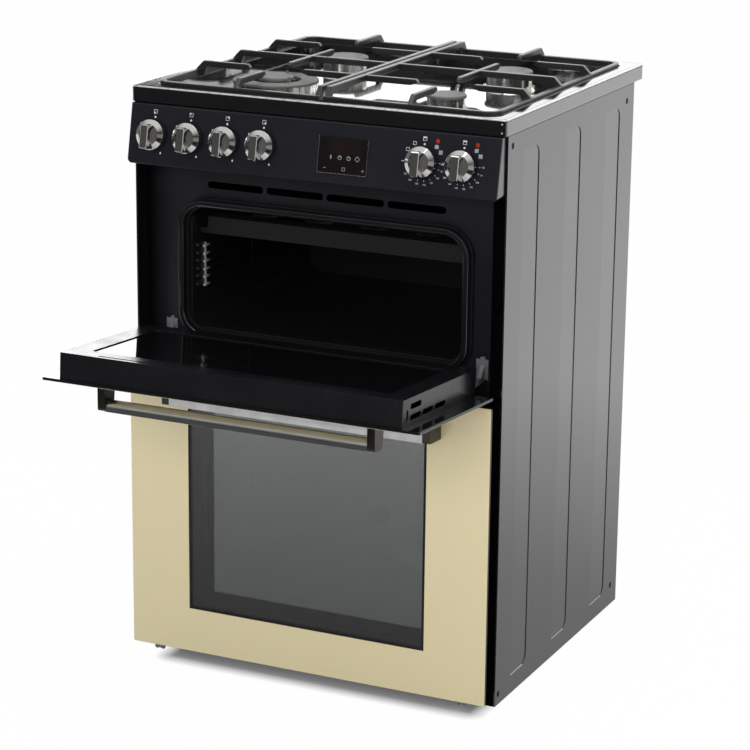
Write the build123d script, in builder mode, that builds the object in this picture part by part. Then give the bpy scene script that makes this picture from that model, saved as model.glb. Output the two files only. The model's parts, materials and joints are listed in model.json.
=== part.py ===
from build123d import *
from math import atan2, cos, radians, sin
import os

os.makedirs("parts", exist_ok=True)

# Overall size in millimetres: X to the right, Y to the rear, Z up from the floor
cooker_width = 600.0
hob_height = 903.0
hob_depth = 556.0
cabinet_depth = 508.0
foot_height = 23.0
sheet = 2.0
running_fit = 0.05

# Hob
hob_rim = 24.0
hob_overhang = 9.0
hob_corner = 5.0
rim_edge = 4.0
rim_width = 23.0
ledge_drop = 5.0
ledge_width = 14.0
well_depth = 28.0
well_corner = 26.0

# Cabinet
side_return = 20.0
frame_recess = 30.0
bay_count = 3
bay_first = 58.0
bay_pitch = 165.0
bay_length = 60.0
bay_depth = 1.0
bay_radius = 16.0
bay_inset = 30.0
foot_radius = 18.0
foot_inset = 48.0

# Control fascia and knobs
fascia_height = 87.5
fascia_gap_above = 1.5
fascia_sheet = 3.0
fascia_end_gap = 3.0
fascia_reach = 22.0
fascia_top_reach = 5.0
knob_radius = 22.5
knob_wall = 10.0
knob_bevel_height = 4.6
knob_bevel_angle = 56.0
knob_recess = 3.6
knob_recess_radius = 15.0
knob_grip_width = 14.2
knob_grip_reach = 21.5
knob_grip_top = 15.0
knob_grip_taper = 1.5
knob_height = 28.0
knob_grip_edge = 0.9
push_travel = 3.0
gas_knob_count = 4
gas_knob_inset = 45.0
gas_knob_pitch = 60.0
oven_knob_inset = 59.0
oven_knob_pitch = 61.0
timer_place = 55.0
timer_width = 78.5
timer_height = 53.0

# Doors
door_reach = 22.0
door_side_gap = 3.7
glass = 4.5
glass_chamfer = 0.6
pivot_back = 12.9
pivot_drop = 4.6
upper_door_height = 256.4
door_gap = 28.0
fascia_gap_below = 16.0
lower_door_lift = 11.0
tray_inset = 27.5
tray_setback = 3.0
tray_depth = 39.0
tray_sheet = 1.5
tray_border = 33.0
upper_open_angle = 86.0
handle_half = 219.0
handle_drop = 40.0
handle_stand = 40.0
bar_height = 25.0
bar_thick = 16.0
bracket_thick = 12.0
hinge_inset = 44.0
arm_thick = 7.0
pin_radius = 3.0

# Oven mouths and cavities
mouth_inset = 75.0
mouth_corner = 30.0
cavity_corner = 18.0
lip_width = 15.0
lip_height = 6.0
seal_width = 10.0
cavity_gap = 72.0
vent_length = 93.0
vent_height = 10.5
vent_pitch = 98.5
wire = 4.0

# Burners
burner_spacing_x = 280.0
burner_spacing_y = 238.0
crown_height = 23.0
small_radius = 28.0
medium_radius = 35.0
wok_radius = 67.0
cap_lip = 2.0
cap_thick = 5.0

# Pan supports
support_rise = 17.0
support_bar = 8.0
support_tall = 9.0
support_gap = 6.0
tip_reach = 43.0

# Levels and planes worked out from the sizes above
half_width = cooker_width / 2
rim_bottom = hob_height - hob_rim
open_swing = radians(upper_open_angle)
door_throw = (pivot_drop + upper_door_height) * sin(open_swing) + (pivot_back - glass_chamfer) * cos(open_swing)
open_reach = door_reach - pivot_back + door_throw
hob_front = (open_reach - hob_depth) / 2
hob_rear = hob_front + hob_depth
panel_front = hob_front + hob_overhang
panel_rear = panel_front + cabinet_depth
cabinet_middle = (panel_front + panel_rear) / 2
hob_middle = (hob_front + hob_rear) / 2
well_floor = hob_height - well_depth
ledge = hob_height - ledge_drop
frame_front = panel_front + frame_recess
frame_back = frame_front + sheet
rear_inside = panel_rear - 2 * sheet
fascia_top = rim_bottom - fascia_gap_above
fascia_bottom = fascia_top - fascia_height
door_face = hob_front - door_reach
pivot_y = door_face + pivot_back
lower_door_bottom = foot_height + lower_door_lift
upper_door_top = fascia_bottom - fascia_gap_below
upper_door_bottom = upper_door_top - upper_door_height
lower_door_top = upper_door_bottom - door_gap
lower_door_height = lower_door_top - lower_door_bottom
upper_pivot_z = upper_door_bottom - pivot_drop
lower_pivot_z = lower_door_bottom - pivot_drop
door_half = half_width - door_side_gap
tray_half = door_half - tray_inset
hinge_x = half_width - hinge_inset
mouth_half = half_width - mouth_inset
upper_mouth = (upper_door_bottom + 16.0, upper_door_top - 52.4)
lower_mouth = (lower_door_bottom + 61.0, lower_door_top - 22.0)
cavity_half = mouth_half - 3.0
cavity_rear = rear_inside - cavity_gap
cavity_depth = cavity_rear - frame_back
tray_back_y = pivot_y + tray_depth - pivot_back + glass
seal_front = tray_back_y + 0.2
vent_level = fascia_bottom - 34.0
support_top = hob_height + support_rise
support_base = ledge
support_outer = half_width - rim_width - 2.0
support_front = hob_front + rim_width + 2.0
support_rear = hob_rear - rim_width - 2.0
burner_x = burner_spacing_x / 2
front_burner_y = hob_middle - 4.0 - burner_spacing_y / 2
rear_burner_y = front_burner_y + burner_spacing_y
crown_top = well_floor + crown_height

fascia_lean = atan2(fascia_reach - fascia_top_reach, fascia_height)
fascia_plane = Plane(
    origin=(0, hob_front - (fascia_reach + fascia_top_reach) / 2, (fascia_top + fascia_bottom) / 2),
    x_dir=(1, 0, 0),
    z_dir=(0, -cos(fascia_lean), sin(fascia_lean)),
)
gas_knob_places = [gas_knob_inset - half_width + gas_knob_pitch * step for step in range(gas_knob_count)]
last_knob = half_width - oven_knob_inset
oven_knob_places = [last_knob - oven_knob_pitch, last_knob]
knob_gap = push_travel + 0.5
spindle_radius = 3.5
knob_socket = 11.0


def keep(piece, name):
    piece.label = name
    export_step(piece, f"parts/{name}.step")


def door_plane(pivot_z, angle):
    swing = radians(angle)
    return Plane(origin=(0, pivot_y, pivot_z), x_dir=(1, 0, 0), z_dir=(0, -cos(swing), -sin(swing)))


# Side panels: a folded sheet with three pressed bays that ramp inward to a step
def side_panel(side):
    outer = side * half_width
    tall = rim_bottom - foot_height
    middle = foot_height + tall / 2
    slope = atan2(bay_depth, bay_length)
    bay_height = tall - 2 * bay_inset
    ramps = []
    for index in range(bay_count):
        ramp = Plane(
            origin=(outer, panel_front + bay_first + index * bay_pitch, middle),
            x_dir=(-side * sin(slope), cos(slope), 0),
            z_dir=(side * cos(slope), sin(slope), 0),
        )
        ramps.append(ramp)
    with BuildPart() as panel:
        with BuildSketch(Plane.XY.offset(foot_height)):
            with Locations((side * (half_width - sheet / 2), cabinet_middle)):
                Rectangle(sheet, cabinet_depth)
            for edge in (panel_front + sheet / 2, panel_rear - sheet / 2):
                with Locations((side * (half_width - side_return / 2), edge)):
                    Rectangle(side_return, sheet)
        extrude(amount=tall)
        for ramp in ramps:
            with BuildSketch(ramp.offset(-sheet)) as backing:
                with Locations(((bay_length + sheet) / 2, 0)):
                    Rectangle(bay_length + sheet, bay_height + 2 * sheet)
                fillet(backing.vertices().sort_by(Axis.X)[-2:], bay_radius + sheet)
            extrude(amount=bay_depth + sheet)
        with BuildSketch(Plane.YZ.offset(outer)):
            with Locations((cabinet_middle, middle)):
                Rectangle(cabinet_depth, tall)
        extrude(amount=side * 3 * bay_depth, mode=Mode.SUBTRACT)
        for ramp in ramps:
            with BuildSketch(ramp) as bay:
                with Locations((bay_length / 2, 0)):
                    Rectangle(bay_length, bay_height)
                fillet(bay.vertices().sort_by(Axis.X)[-2:], bay_radius)
            extrude(amount=2 * bay_depth, mode=Mode.SUBTRACT)
    return panel.part


keep(side_panel(-1), "left_side_panel")
keep(side_panel(1), "right_side_panel")

# Rear panel with two banks of louvre slots and the holes of the gas inlet and the mains terminals
inlet_x = -half_width + 32.0
inlet_z = fascia_bottom + 30.0
terminal_x = half_width - 100.0
terminal_z = foot_height + 110.0
panel_inside = half_width - sheet
fan_z = (lower_mouth[0] + lower_mouth[1]) / 2
louvre_length = 150.0
louvre_height = 6.0
louvre_pitch = 18.0
louvre_count = 5
pipe_hole = 9.0
rear_panel_top = well_floor - sheet
with BuildPart() as rear_panel:
    with BuildSketch(Plane.XZ.offset(-(rear_inside + sheet))):
        with Locations((0, (foot_height + rear_panel_top) / 2)):
            Rectangle(2 * panel_inside, rear_panel_top - foot_height)
        with Locations((-cooker_width / 5, fan_z), (cooker_width / 5, fan_z)):
            with GridLocations(0, louvre_pitch, 1, louvre_count):
                SlotOverall(louvre_length, louvre_height, mode=Mode.SUBTRACT)
        with Locations((inlet_x, inlet_z), (terminal_x, terminal_z)):
            Circle(pipe_hole, mode=Mode.SUBTRACT)
    extrude(amount=sheet)
keep(rear_panel.part, "rear_panel")

# Base pan: a folded tray between the side panels
pan_middle = (frame_back + rear_inside) / 2
pan_length = rear_inside - frame_back
pan_lip = 16.0
with BuildPart() as base_pan:
    with BuildSketch(Plane.XY.offset(foot_height)):
        with Locations((0, pan_middle)):
            Rectangle(2 * panel_inside, pan_length)
    extrude(amount=pan_lip)
    with BuildSketch(Plane.XY.offset(foot_height + sheet)):
        with Locations((0, pan_middle)):
            Rectangle(2 * (panel_inside - sheet), pan_length - 2 * sheet)
    extrude(amount=pan_lip, mode=Mode.SUBTRACT)
    with BuildSketch(Plane.XY.offset(foot_height + sheet)):
        with Locations((-hinge_x, frame_back + sheet / 2), (hinge_x, frame_back + sheet / 2)):
            Rectangle(arm_thick + 4, sheet)
    extrude(amount=pan_lip, mode=Mode.SUBTRACT)
keep(base_pan.part, "base_pan")

# Levelling feet: a wide pad, a waist and a nut under the base pan
with BuildPart() as levelling_feet:
    with GridLocations(2 * (half_width - foot_inset), pan_length - 2 * foot_inset, 2, 2):
        with Locations((0, pan_middle, 0)):
            Cylinder(foot_radius, foot_height * 0.35, align=(Align.CENTER, Align.CENTER, Align.MIN))
            Cylinder(foot_radius * 0.45, foot_height, align=(Align.CENTER, Align.CENTER, Align.MIN))
keep(levelling_feet.part, "levelling_feet")

# Front frame: the plate behind both doors, with oven mouths, raised lips, vents and hinge slots
hinge_slot_low = -4.0
hinge_slot_high = 36.0
frame_top = fascia_bottom + 8.0
mouths = [lower_mouth, upper_mouth]
with BuildPart() as front_frame:
    with BuildSketch(Plane.XZ.offset(-frame_back)):
        with Locations((0, (foot_height + frame_top) / 2)):
            Rectangle(2 * panel_inside, frame_top - foot_height)
    extrude(amount=sheet)
    for low, high in mouths:
        with BuildSketch(Plane.XZ.offset(-frame_front)):
            with Locations((0, (low + high) / 2)):
                RectangleRounded(2 * (mouth_half + lip_width), high - low + 2 * lip_width, mouth_corner + lip_width)
        extrude(amount=lip_height)
    for low, high in mouths:
        with BuildSketch(Plane.XZ.offset(-frame_back)):
            with Locations((0, (low + high) / 2)):
                RectangleRounded(2 * mouth_half, high - low, mouth_corner)
        extrude(amount=sheet + lip_height, mode=Mode.SUBTRACT)
    with BuildSketch(Plane.XZ.offset(-frame_back)):
        with Locations((0, vent_level)):
            with GridLocations(vent_pitch, 0, 4, 1):
                SlotOverall(vent_length, vent_height)
        for pivot in (lower_pivot_z, upper_pivot_z):
            for side in (-1, 1):
                with Locations((side * hinge_x, pivot + (hinge_slot_low + hinge_slot_high) / 2)):
                    Rectangle(arm_thick + 3, hinge_slot_high - hinge_slot_low)
    extrude(amount=sheet, mode=Mode.SUBTRACT)
keep(front_frame.part, "front_frame")


# Door seals: a soft ring on each raised lip
def oven_seal(low, high):
    inset = (lip_width - seal_width) / 2
    grow = 2 * (lip_width - inset)
    thick = frame_front - lip_height - seal_front
    with BuildPart() as seal:
        with BuildSketch(Plane.XZ.offset(-(frame_front - lip_height))):
            with Locations((0, (low + high) / 2)):
                RectangleRounded(2 * mouth_half + grow, high - low + grow, mouth_corner + grow / 2)
                RectangleRounded(
                    2 * (mouth_half + inset), high - low + 2 * inset, mouth_corner + inset, mode=Mode.SUBTRACT
                )
        extrude(amount=thick)
        fillet(seal.faces().sort_by(Axis.Y)[0].edges(), seal_width * 0.3)
    return seal.part


keep(oven_seal(*upper_mouth), "upper_oven_seal")
keep(oven_seal(*lower_mouth), "lower_oven_seal")

# Oven cavities: enamelled boxes behind the front frame
shaft_radius = 4.0


def oven_cavity(low, high, shaft_hole):
    middle = (low + high) / 2
    tall = high - low - 4.0
    with BuildPart() as cavity:
        with BuildSketch(Plane.XZ.offset(-frame_back)):
            with Locations((0, middle)):
                RectangleRounded(2 * (cavity_half + sheet), tall + 2 * sheet, cavity_corner + sheet)
        extrude(amount=-cavity_depth)
        with BuildSketch(Plane.XZ.offset(-frame_back)):
            with Locations((0, middle)):
                RectangleRounded(2 * cavity_half, tall, cavity_corner)
        extrude(amount=-(cavity_depth - sheet), mode=Mode.SUBTRACT)
        if shaft_hole:
            with BuildSketch(Plane.XZ.offset(-cavity_rear)):
                with Locations((0, middle)):
                    Circle(shaft_radius + 2)
            extrude(amount=sheet, mode=Mode.SUBTRACT)
        with BuildSketch(Plane.XZ.offset(-frame_back)):
            with Locations((0, middle)):
                RectangleRounded(2 * (mouth_half + lip_width), high - low + 2 * lip_width, mouth_corner + lip_width)
                RectangleRounded(2 * cavity_half, tall, cavity_corner, mode=Mode.SUBTRACT)
        extrude(amount=-sheet)
    return cavity.part


keep(oven_cavity(*upper_mouth, False), "upper_oven_cavity")
keep(oven_cavity(*lower_mouth, True), "lower_oven_cavity")

# Shelf runners: wire ladders on the cavity side walls, rungs in pairs
runner_front = frame_back + 36.0
runner_rear = cavity_rear - 60.0
pair_gap = 12.5
upper_levels = [upper_mouth[0] + 66 + 24 * step for step in range(3)]
lower_levels = [lower_mouth[0] + 34 + 62 * step for step in range(4)]
with BuildPart() as shelf_runners:
    for levels in (upper_levels, lower_levels):
        low = levels[0] - 10
        tall = levels[-1] - levels[0] + 20
        for side in (-1, 1):
            upright_x = side * (cavity_half - wire / 2 - running_fit)
            rung_x = side * (cavity_half - 1.4 * wire)
            for upright_y in (runner_front, (runner_front + runner_rear) / 2, runner_rear):
                with Locations((upright_x, upright_y, low)):
                    Cylinder(wire / 2, tall, align=(Align.CENTER, Align.CENTER, Align.MIN))
            for level in levels:
                for offset in (-pair_gap / 2, pair_gap / 2):
                    with Locations((rung_x, (runner_front + runner_rear) / 2, level + offset)):
                        Cylinder(wire / 2, runner_rear - runner_front + 20, rotation=(90, 0, 0))
keep(shelf_runners.part, "shelf_runners")

# Grill element under the roof of the upper oven, its ends in the rear wall
element_radius = 3.3
grill_level = upper_mouth[1] - 20.0
grill_front = frame_back + 60.0
grill_back = cavity_rear - 90.0
element_pitch = 46.0
grill_points = [(-3.5 * element_pitch, cavity_rear - sheet, grill_level)]
for index in range(8):
    turn_x = (index - 3.5) * element_pitch
    first, last = (grill_back, grill_front) if index % 2 == 0 else (grill_front, grill_back)
    if index > 0:
        grill_points.append((turn_x, first, grill_level))
    if index < 7:
        grill_points.append((turn_x, last, grill_level))
grill_points.append((3.5 * element_pitch, cavity_rear - sheet, grill_level))
with BuildPart() as grill_element:
    with BuildLine() as grill_path:
        FilletPolyline(*grill_points, radius=element_pitch * 0.4)
    with BuildSketch(Plane(origin=grill_path.line @ 0, z_dir=grill_path.line % 0)):
        Circle(element_radius)
    sweep()
keep(grill_element.part, "grill_element")

# Grill deflector: a bent strip across the mouth of the upper oven
deflector_y = frame_back + 26.0
deflector_low = upper_mouth[1] - 47.0
deflector_tall = 25.0
deflector_half = cavity_half - 11.0
with BuildPart() as grill_deflector:
    with BuildSketch(Plane.YZ.offset(-deflector_half)):
        with BuildLine():
            Polyline(
                (deflector_y, deflector_low),
                (deflector_y + 4, deflector_low + deflector_tall),
                (deflector_y + 22, deflector_low + deflector_tall + 3),
                (deflector_y + 22, deflector_low + deflector_tall + 1.5),
                (deflector_y + 5.3, deflector_low + deflector_tall - 1.3),
                (deflector_y + 1.5, deflector_low),
                close=True,
            )
        make_face()
    extrude(amount=2 * deflector_half)
    for side in (-1, 1):
        with Locations((side * (cavity_half + deflector_half - 3) / 2, deflector_y + 1.35, deflector_low + 4)):
            Box(cavity_half - deflector_half + 3, 1.5, 8)
keep(grill_deflector.part, "grill_deflector")

# Fan baffle on four posts, with a ring of slots in front of the fan
fan_radius = 72.0
baffle_size = 300.0
baffle_y = cavity_rear - sheet - 38.0
with BuildPart() as fan_baffle:
    with BuildSketch(Plane.XZ.offset(-baffle_y)):
        with Locations((0, fan_z)):
            RectangleRounded(baffle_size, baffle_size, 12)
            for hole_ring in (24.0, 44.0, 64.0):
                with PolarLocations(hole_ring, 12):
                    SlotOverall(14, 5, mode=Mode.SUBTRACT)
    extrude(amount=1.5)
    with BuildSketch(Plane.XZ.offset(-baffle_y)):
        with Locations((0, fan_z)):
            with GridLocations(baffle_size - 30, baffle_size - 30, 2, 2):
                Circle(5)
    extrude(amount=-(cavity_rear - sheet - baffle_y))
keep(fan_baffle.part, "fan_baffle")

# Ring element round the fan, standing on two legs
ring_radius = fan_radius + 20.0
ring_y = cavity_rear - sheet - 16.0
with BuildPart() as ring_element:
    with Locations((0, ring_y, fan_z)):
        Torus(ring_radius, element_radius, rotation=(90, 0, 0))
    with BuildSketch(Plane.XZ.offset(-ring_y)):
        with Locations((-14, fan_z - ring_radius), (14, fan_z - ring_radius)):
            Circle(element_radius * 0.8)
    extrude(amount=-(cavity_rear - sheet - ring_y))
keep(ring_element.part, "ring_element")

# Fan motor on the back of the lower cavity
motor_radius = 26.0
motor_depth = cavity_gap * 0.42
motor_plate = 3.0
motor_end = 8.0
with BuildPart() as fan_motor:
    with BuildSketch(Plane.XZ.offset(-cavity_rear)):
        with Locations((0, fan_z)):
            RectangleRounded(3.4 * motor_radius, 2.3 * motor_radius, 0.3 * motor_radius)
    extrude(amount=-motor_plate)
    with BuildSketch(Plane.XZ.offset(-cavity_rear)):
        with Locations((0, fan_z)):
            Circle(motor_radius)
    extrude(amount=-motor_depth)
    with BuildSketch(Plane.XZ.offset(-cavity_rear)):
        with Locations((0, fan_z)):
            Circle(shaft_radius + running_fit)
    extrude(amount=-(motor_depth - motor_end), mode=Mode.SUBTRACT)
keep(fan_motor.part, "fan_motor")

# Fan blade: a disc with bent paddles on the motor's shaft
blade_y = cavity_rear - sheet - 26.0
paddle_depth = 16.0
with BuildPart() as fan_blade:
    with BuildSketch(Plane.XZ.offset(-blade_y)):
        with Locations((0, fan_z)):
            Circle(fan_radius)
    extrude(amount=-1.2)
    with BuildSketch(Plane.XZ.offset(-blade_y)):
        with Locations((0, fan_z)):
            with PolarLocations(fan_radius * 0.72, 10):
                Rectangle(fan_radius * 0.5, 1.2, rotation=25)
    extrude(amount=-paddle_depth)
    with BuildSketch(Plane.XZ.offset(-blade_y)):
        with Locations((0, fan_z)):
            Circle(shaft_radius)
    extrude(amount=-(cavity_rear + motor_depth - motor_end - 2 - blade_y))
keep(fan_blade.part, "fan_blade")

# Mains terminal box on the rear panel
terminal_width = 92.0
terminal_height = 62.0
terminal_depth = 34.0
terminal_wall = 3.0
with BuildPart() as terminal_box:
    with BuildSketch(Plane.XZ.offset(-(rear_inside + sheet))):
        with Locations((terminal_x, terminal_z)):
            RectangleRounded(terminal_width, terminal_height, 2 * terminal_wall)
    extrude(amount=-terminal_depth)
    fillet(terminal_box.faces().sort_by(Axis.Y)[-1].edges(), 1.3 * terminal_wall)
    with BuildSketch(Plane.XZ.offset(-(rear_inside + sheet))):
        with Locations((terminal_x, terminal_z)):
            Rectangle(terminal_width - 2 * terminal_wall, terminal_height - 2 * terminal_wall)
    extrude(amount=-(terminal_depth - terminal_wall), mode=Mode.SUBTRACT)
keep(terminal_box.part, "terminal_box")

# Control fascia: a sloping shell with rounded lower corners, open at the rear and floored back to the frame
fascia_half = half_width - fascia_end_gap
fascia_wall = fascia_sheet / cos(fascia_lean)
inner_low = fascia_bottom + fascia_sheet
inner_high = fascia_top - fascia_sheet
knob_places = gas_knob_places + oven_knob_places
neon_offset = (20.0, 32.0)


def fascia_front(level):
    return hob_front - fascia_reach + (level - fascia_bottom) * (fascia_reach - fascia_top_reach) / fascia_height


with BuildPart() as control_fascia:
    with BuildSketch(Plane.YZ.offset(-fascia_half)):
        with BuildLine():
            Polyline(
                (fascia_front(fascia_bottom), fascia_bottom),
                (fascia_front(fascia_top), fascia_top),
                (panel_front, fascia_top),
                (panel_front, fascia_bottom),
                close=True,
            )
        make_face()
    extrude(amount=2 * fascia_half)
    fillet(control_fascia.edges().filter_by(Axis.Y).group_by(Axis.Z)[0], 7)
    fillet(control_fascia.faces().sort_by(Axis.Y)[0].edges(), 2.2)
    with BuildSketch(Plane.YZ.offset(-fascia_half + fascia_sheet)):
        with BuildLine():
            Polyline(
                (fascia_front(inner_low) + fascia_wall, inner_low),
                (fascia_front(inner_high) + fascia_wall, inner_high),
                (panel_front, inner_high),
                (panel_front, inner_low),
                close=True,
            )
        make_face()
    extrude(amount=2 * (fascia_half - fascia_sheet), mode=Mode.SUBTRACT)
    with BuildSketch(Plane.XY.offset(fascia_bottom)):
        with Locations((0, (panel_front + frame_front) / 2)):
            Rectangle(2 * (half_width - side_return - 2), frame_recess)
    extrude(amount=fascia_sheet)
    with BuildSketch(fascia_plane):
        for place in knob_places:
            with Locations((place, 0)):
                Circle(spindle_radius + 1)
        for place in oven_knob_places:
            with Locations((place + neon_offset[0], neon_offset[1])):
                Circle(2.6)
        with Locations((timer_place, -2)):
            Rectangle(timer_width - 5, timer_height - 5)
    extrude(amount=-2 * fascia_sheet, mode=Mode.SUBTRACT)
keep(control_fascia.part, "control_fascia")

# Timer module: touch glass on the fascia and its housing behind
with BuildPart() as timer_module:
    with BuildSketch(fascia_plane):
        with Locations((timer_place, -2)):
            RectangleRounded(timer_width, timer_height, 2)
    extrude(amount=1.2)
    with BuildSketch(fascia_plane):
        with Locations((timer_place, -2)):
            Rectangle(timer_width - 5.2, timer_height - 5.2)
    extrude(amount=-24)
keep(timer_module.part, "timer_module")

# Neon lamps beside the oven knobs
with BuildPart() as neon_lamps:
    for place in oven_knob_places:
        with BuildSketch(fascia_plane):
            with Locations((place + neon_offset[0], neon_offset[1])):
                Circle(3.2)
        extrude(amount=0.9)
        with BuildSketch(fascia_plane):
            with Locations((place + neon_offset[0], neon_offset[1])):
                Circle(2.5)
        extrude(amount=-5)
keep(neon_lamps.part, "neon_lamps")

# Gas rail behind the fascia with a tap at each knob, and its pipe to the rear inlet
tap_depth = 42.0
tap_bore = 17.0
rail_back = 34.0
rail_start = fascia_plane.from_local_coords((inlet_x, 0, -rail_back))
rail_end = fascia_plane.from_local_coords((gas_knob_places[-1], 0, -rail_back))
inlet_reach = panel_rear + 12.0
inlet_radius = 10.48
inlet_length = 16.0
with BuildPart() as gas_rail:
    with BuildLine() as rail_path:
        FilletPolyline(
            tuple(rail_end),
            tuple(rail_start),
            (inlet_x, rail_start.Y + 40, rail_start.Z),
            (inlet_x, rail_start.Y + 80, inlet_z),
            (inlet_x, inlet_reach, inlet_z),
            radius=14,
        )
    with BuildSketch(Plane(origin=rail_path.line @ 0, z_dir=rail_path.line % 0)):
        Circle(6)
    sweep()
    with BuildSketch(fascia_plane.offset(-fascia_sheet)):
        for place in gas_knob_places:
            with Locations((place, 0)):
                RectangleRounded(26, 30, 5)
    extrude(amount=-(tap_depth - fascia_sheet))
    with BuildSketch(fascia_plane.offset(-fascia_sheet)):
        for place in gas_knob_places:
            with Locations((place, 0)):
                Circle(spindle_radius + running_fit)
    extrude(amount=-tap_bore, mode=Mode.SUBTRACT)
    with BuildSketch(Plane.XZ.offset(-inlet_reach)):
        with Locations((inlet_x, inlet_z)):
            RegularPolygon(13, 6)
    extrude(amount=8)
    with BuildSketch(Plane.XZ.offset(-inlet_reach)):
        with Locations((inlet_x, inlet_z)):
            Circle(inlet_radius)
            Circle(inlet_radius - 3, mode=Mode.SUBTRACT)
    extrude(amount=-inlet_length)
keep(gas_rail.part, "gas_rail")

# Oven switches behind the fascia, each with its shaft
with BuildPart() as oven_switches:
    with BuildSketch(fascia_plane.offset(-fascia_sheet)):
        for place in oven_knob_places:
            with Locations((place, 0)):
                RectangleRounded(38, 38, 4)
    extrude(amount=-28)
    with BuildSketch(fascia_plane.offset(-fascia_sheet)):
        for place in oven_knob_places:
            with Locations((place, 0)):
                Circle(spindle_radius)
    extrude(amount=fascia_sheet + knob_gap + knob_socket)
keep(oven_switches.part, "oven_switches")

# Gas tap spindles: they slide in their taps when a knob is pushed
spindle_back = fascia_sheet + tap_bore - push_travel - 1.0
for number, place in enumerate(gas_knob_places, start=1):
    with BuildPart() as spindle:
        with BuildSketch(fascia_plane.offset(-spindle_back)):
            with Locations((place, 0)):
                Circle(spindle_radius)
        extrude(amount=spindle_back + knob_gap + knob_socket)
    keep(spindle.part, f"gas_spindle_{number}")


# Knobs: a bevelled drum round a sunk face, a grip bar that runs off its lower edge and a socket for the shaft
def knob(place):
    with BuildPart() as turned:
        with BuildSketch(fascia_plane.offset(knob_gap)):
            with Locations((place, 0)):
                Circle(knob_radius)
        extrude(amount=knob_wall)
        with BuildSketch(fascia_plane.offset(knob_gap + knob_wall)):
            with Locations((place, 0)):
                Circle(knob_radius)
        extrude(amount=knob_bevel_height, taper=knob_bevel_angle)
        with BuildSketch(fascia_plane.offset(knob_gap + knob_wall + knob_bevel_height)):
            with Locations((place, 0)):
                Circle(knob_recess_radius)
        extrude(amount=-knob_recess, mode=Mode.SUBTRACT)
        with BuildSketch(fascia_plane.offset(knob_gap)):
            with Locations((place, 0)):
                Circle(knob_grip_reach)
            with Locations((place, (knob_grip_top - knob_grip_reach) / 2)):
                Rectangle(knob_grip_width, knob_grip_top + knob_grip_reach, mode=Mode.INTERSECT)
        extrude(amount=knob_height, taper=knob_grip_taper)
        chamfer(turned.faces().sort_by(Axis(fascia_plane.origin, fascia_plane.z_dir))[-1].edges(), knob_grip_edge)
        with BuildSketch(fascia_plane.offset(knob_gap)):
            with Locations((place, 0)):
                Circle(spindle_radius + running_fit)
        extrude(amount=knob_socket, mode=Mode.SUBTRACT)
    return turned.part


for number, place in enumerate(gas_knob_places, start=1):
    keep(knob(place), f"gas_knob_{number}")
for number, place in enumerate(oven_knob_places, start=1):
    keep(knob(place), f"oven_knob_{number}")

# Hob top: a pressed sheet with a deep well, a ledge for the pan supports and a folded rim
ledge_size = (cooker_width - 2 * rim_width, hob_depth - 2 * rim_width)
well_size = (ledge_size[0] - 2 * ledge_width, ledge_size[1] - 2 * ledge_width)
well_radius = well_corner - ledge_width / 2
burner_places = {
    "wok": (-burner_x, front_burner_y),
    "rear_left": (-burner_x, rear_burner_y),
    "front_right": (burner_x, front_burner_y),
    "rear_right": (burner_x, rear_burner_y),
}
cup_hole = 17.0
with BuildPart() as hob_top:
    with BuildSketch(Plane.XY.offset(rim_bottom)):
        with Locations((0, hob_middle)):
            RectangleRounded(cooker_width, hob_depth, hob_corner)
    extrude(amount=hob_rim)
    fillet(hob_top.faces().sort_by(Axis.Z)[-1].edges(), rim_edge)
    with BuildSketch(Plane.XY.offset(rim_bottom)):
        with Locations((0, hob_middle)):
            RectangleRounded(cooker_width - 2 * sheet, hob_depth - 2 * sheet, hob_corner - sheet)
    extrude(amount=hob_rim - sheet - ledge_drop, mode=Mode.SUBTRACT)
    with BuildSketch(Plane.XY.offset(well_floor - sheet)):
        with Locations((0, hob_middle)):
            RectangleRounded(well_size[0] + 2 * sheet, well_size[1] + 2 * sheet, well_radius + sheet)
    extrude(amount=ledge - well_floor + sheet)
    with BuildSketch(Plane.XY.offset(ledge)):
        with Locations((0, hob_middle)):
            RectangleRounded(*ledge_size, well_corner)
    extrude(amount=2 * ledge_drop, mode=Mode.SUBTRACT)
    with BuildSketch(Plane.XY.offset(well_floor)):
        with Locations((0, hob_middle)):
            RectangleRounded(*well_size, well_radius)
    extrude(amount=well_depth, mode=Mode.SUBTRACT)
    with BuildSketch(Plane.XY.offset(well_floor - sheet)):
        with Locations(*burner_places.values()):
            Circle(cup_hole)
    extrude(amount=sheet, mode=Mode.SUBTRACT)
keep(hob_top.part, "hob_top")

# Burner cups under the hob
cup_depth = 32.0
with BuildPart() as burner_cups:
    with BuildSketch(Plane.XY.offset(well_floor - sheet)):
        with Locations(*burner_places.values()):
            Circle(cup_hole + 12)
    extrude(amount=-3)
    with BuildSketch(Plane.XY.offset(well_floor - sheet)):
        with Locations(*burner_places.values()):
            Circle(cup_hole + 2)
    extrude(amount=-cup_depth)
    with BuildSketch(Plane.XY.offset(well_floor - sheet)):
        with Locations(*burner_places.values()):
            Circle(cup_hole)
    extrude(amount=-(cup_depth - 3), mode=Mode.SUBTRACT)
keep(burner_cups.part, "burner_cups")


# Single burners: a flanged crown with a ring of port slots, and a domed cap
def burner_crown(place, radius):
    skirt = 4.0
    ports = 24
    port_height = 5.0
    with BuildPart() as crown:
        with BuildSketch(Plane.XY.offset(well_floor)):
            with Locations(place):
                Circle(radius + 7)
        extrude(amount=skirt, taper=30)
        with BuildSketch(Plane.XY.offset(well_floor + skirt)):
            with Locations(place):
                Circle(radius)
        extrude(amount=crown_height - skirt)
        with BuildSketch(Plane.XY.offset(crown_top - port_height)):
            with Locations(place):
                with PolarLocations(radius, ports):
                    Rectangle(6, 1.6)
        extrude(amount=port_height, mode=Mode.SUBTRACT)
    return crown.part


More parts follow.
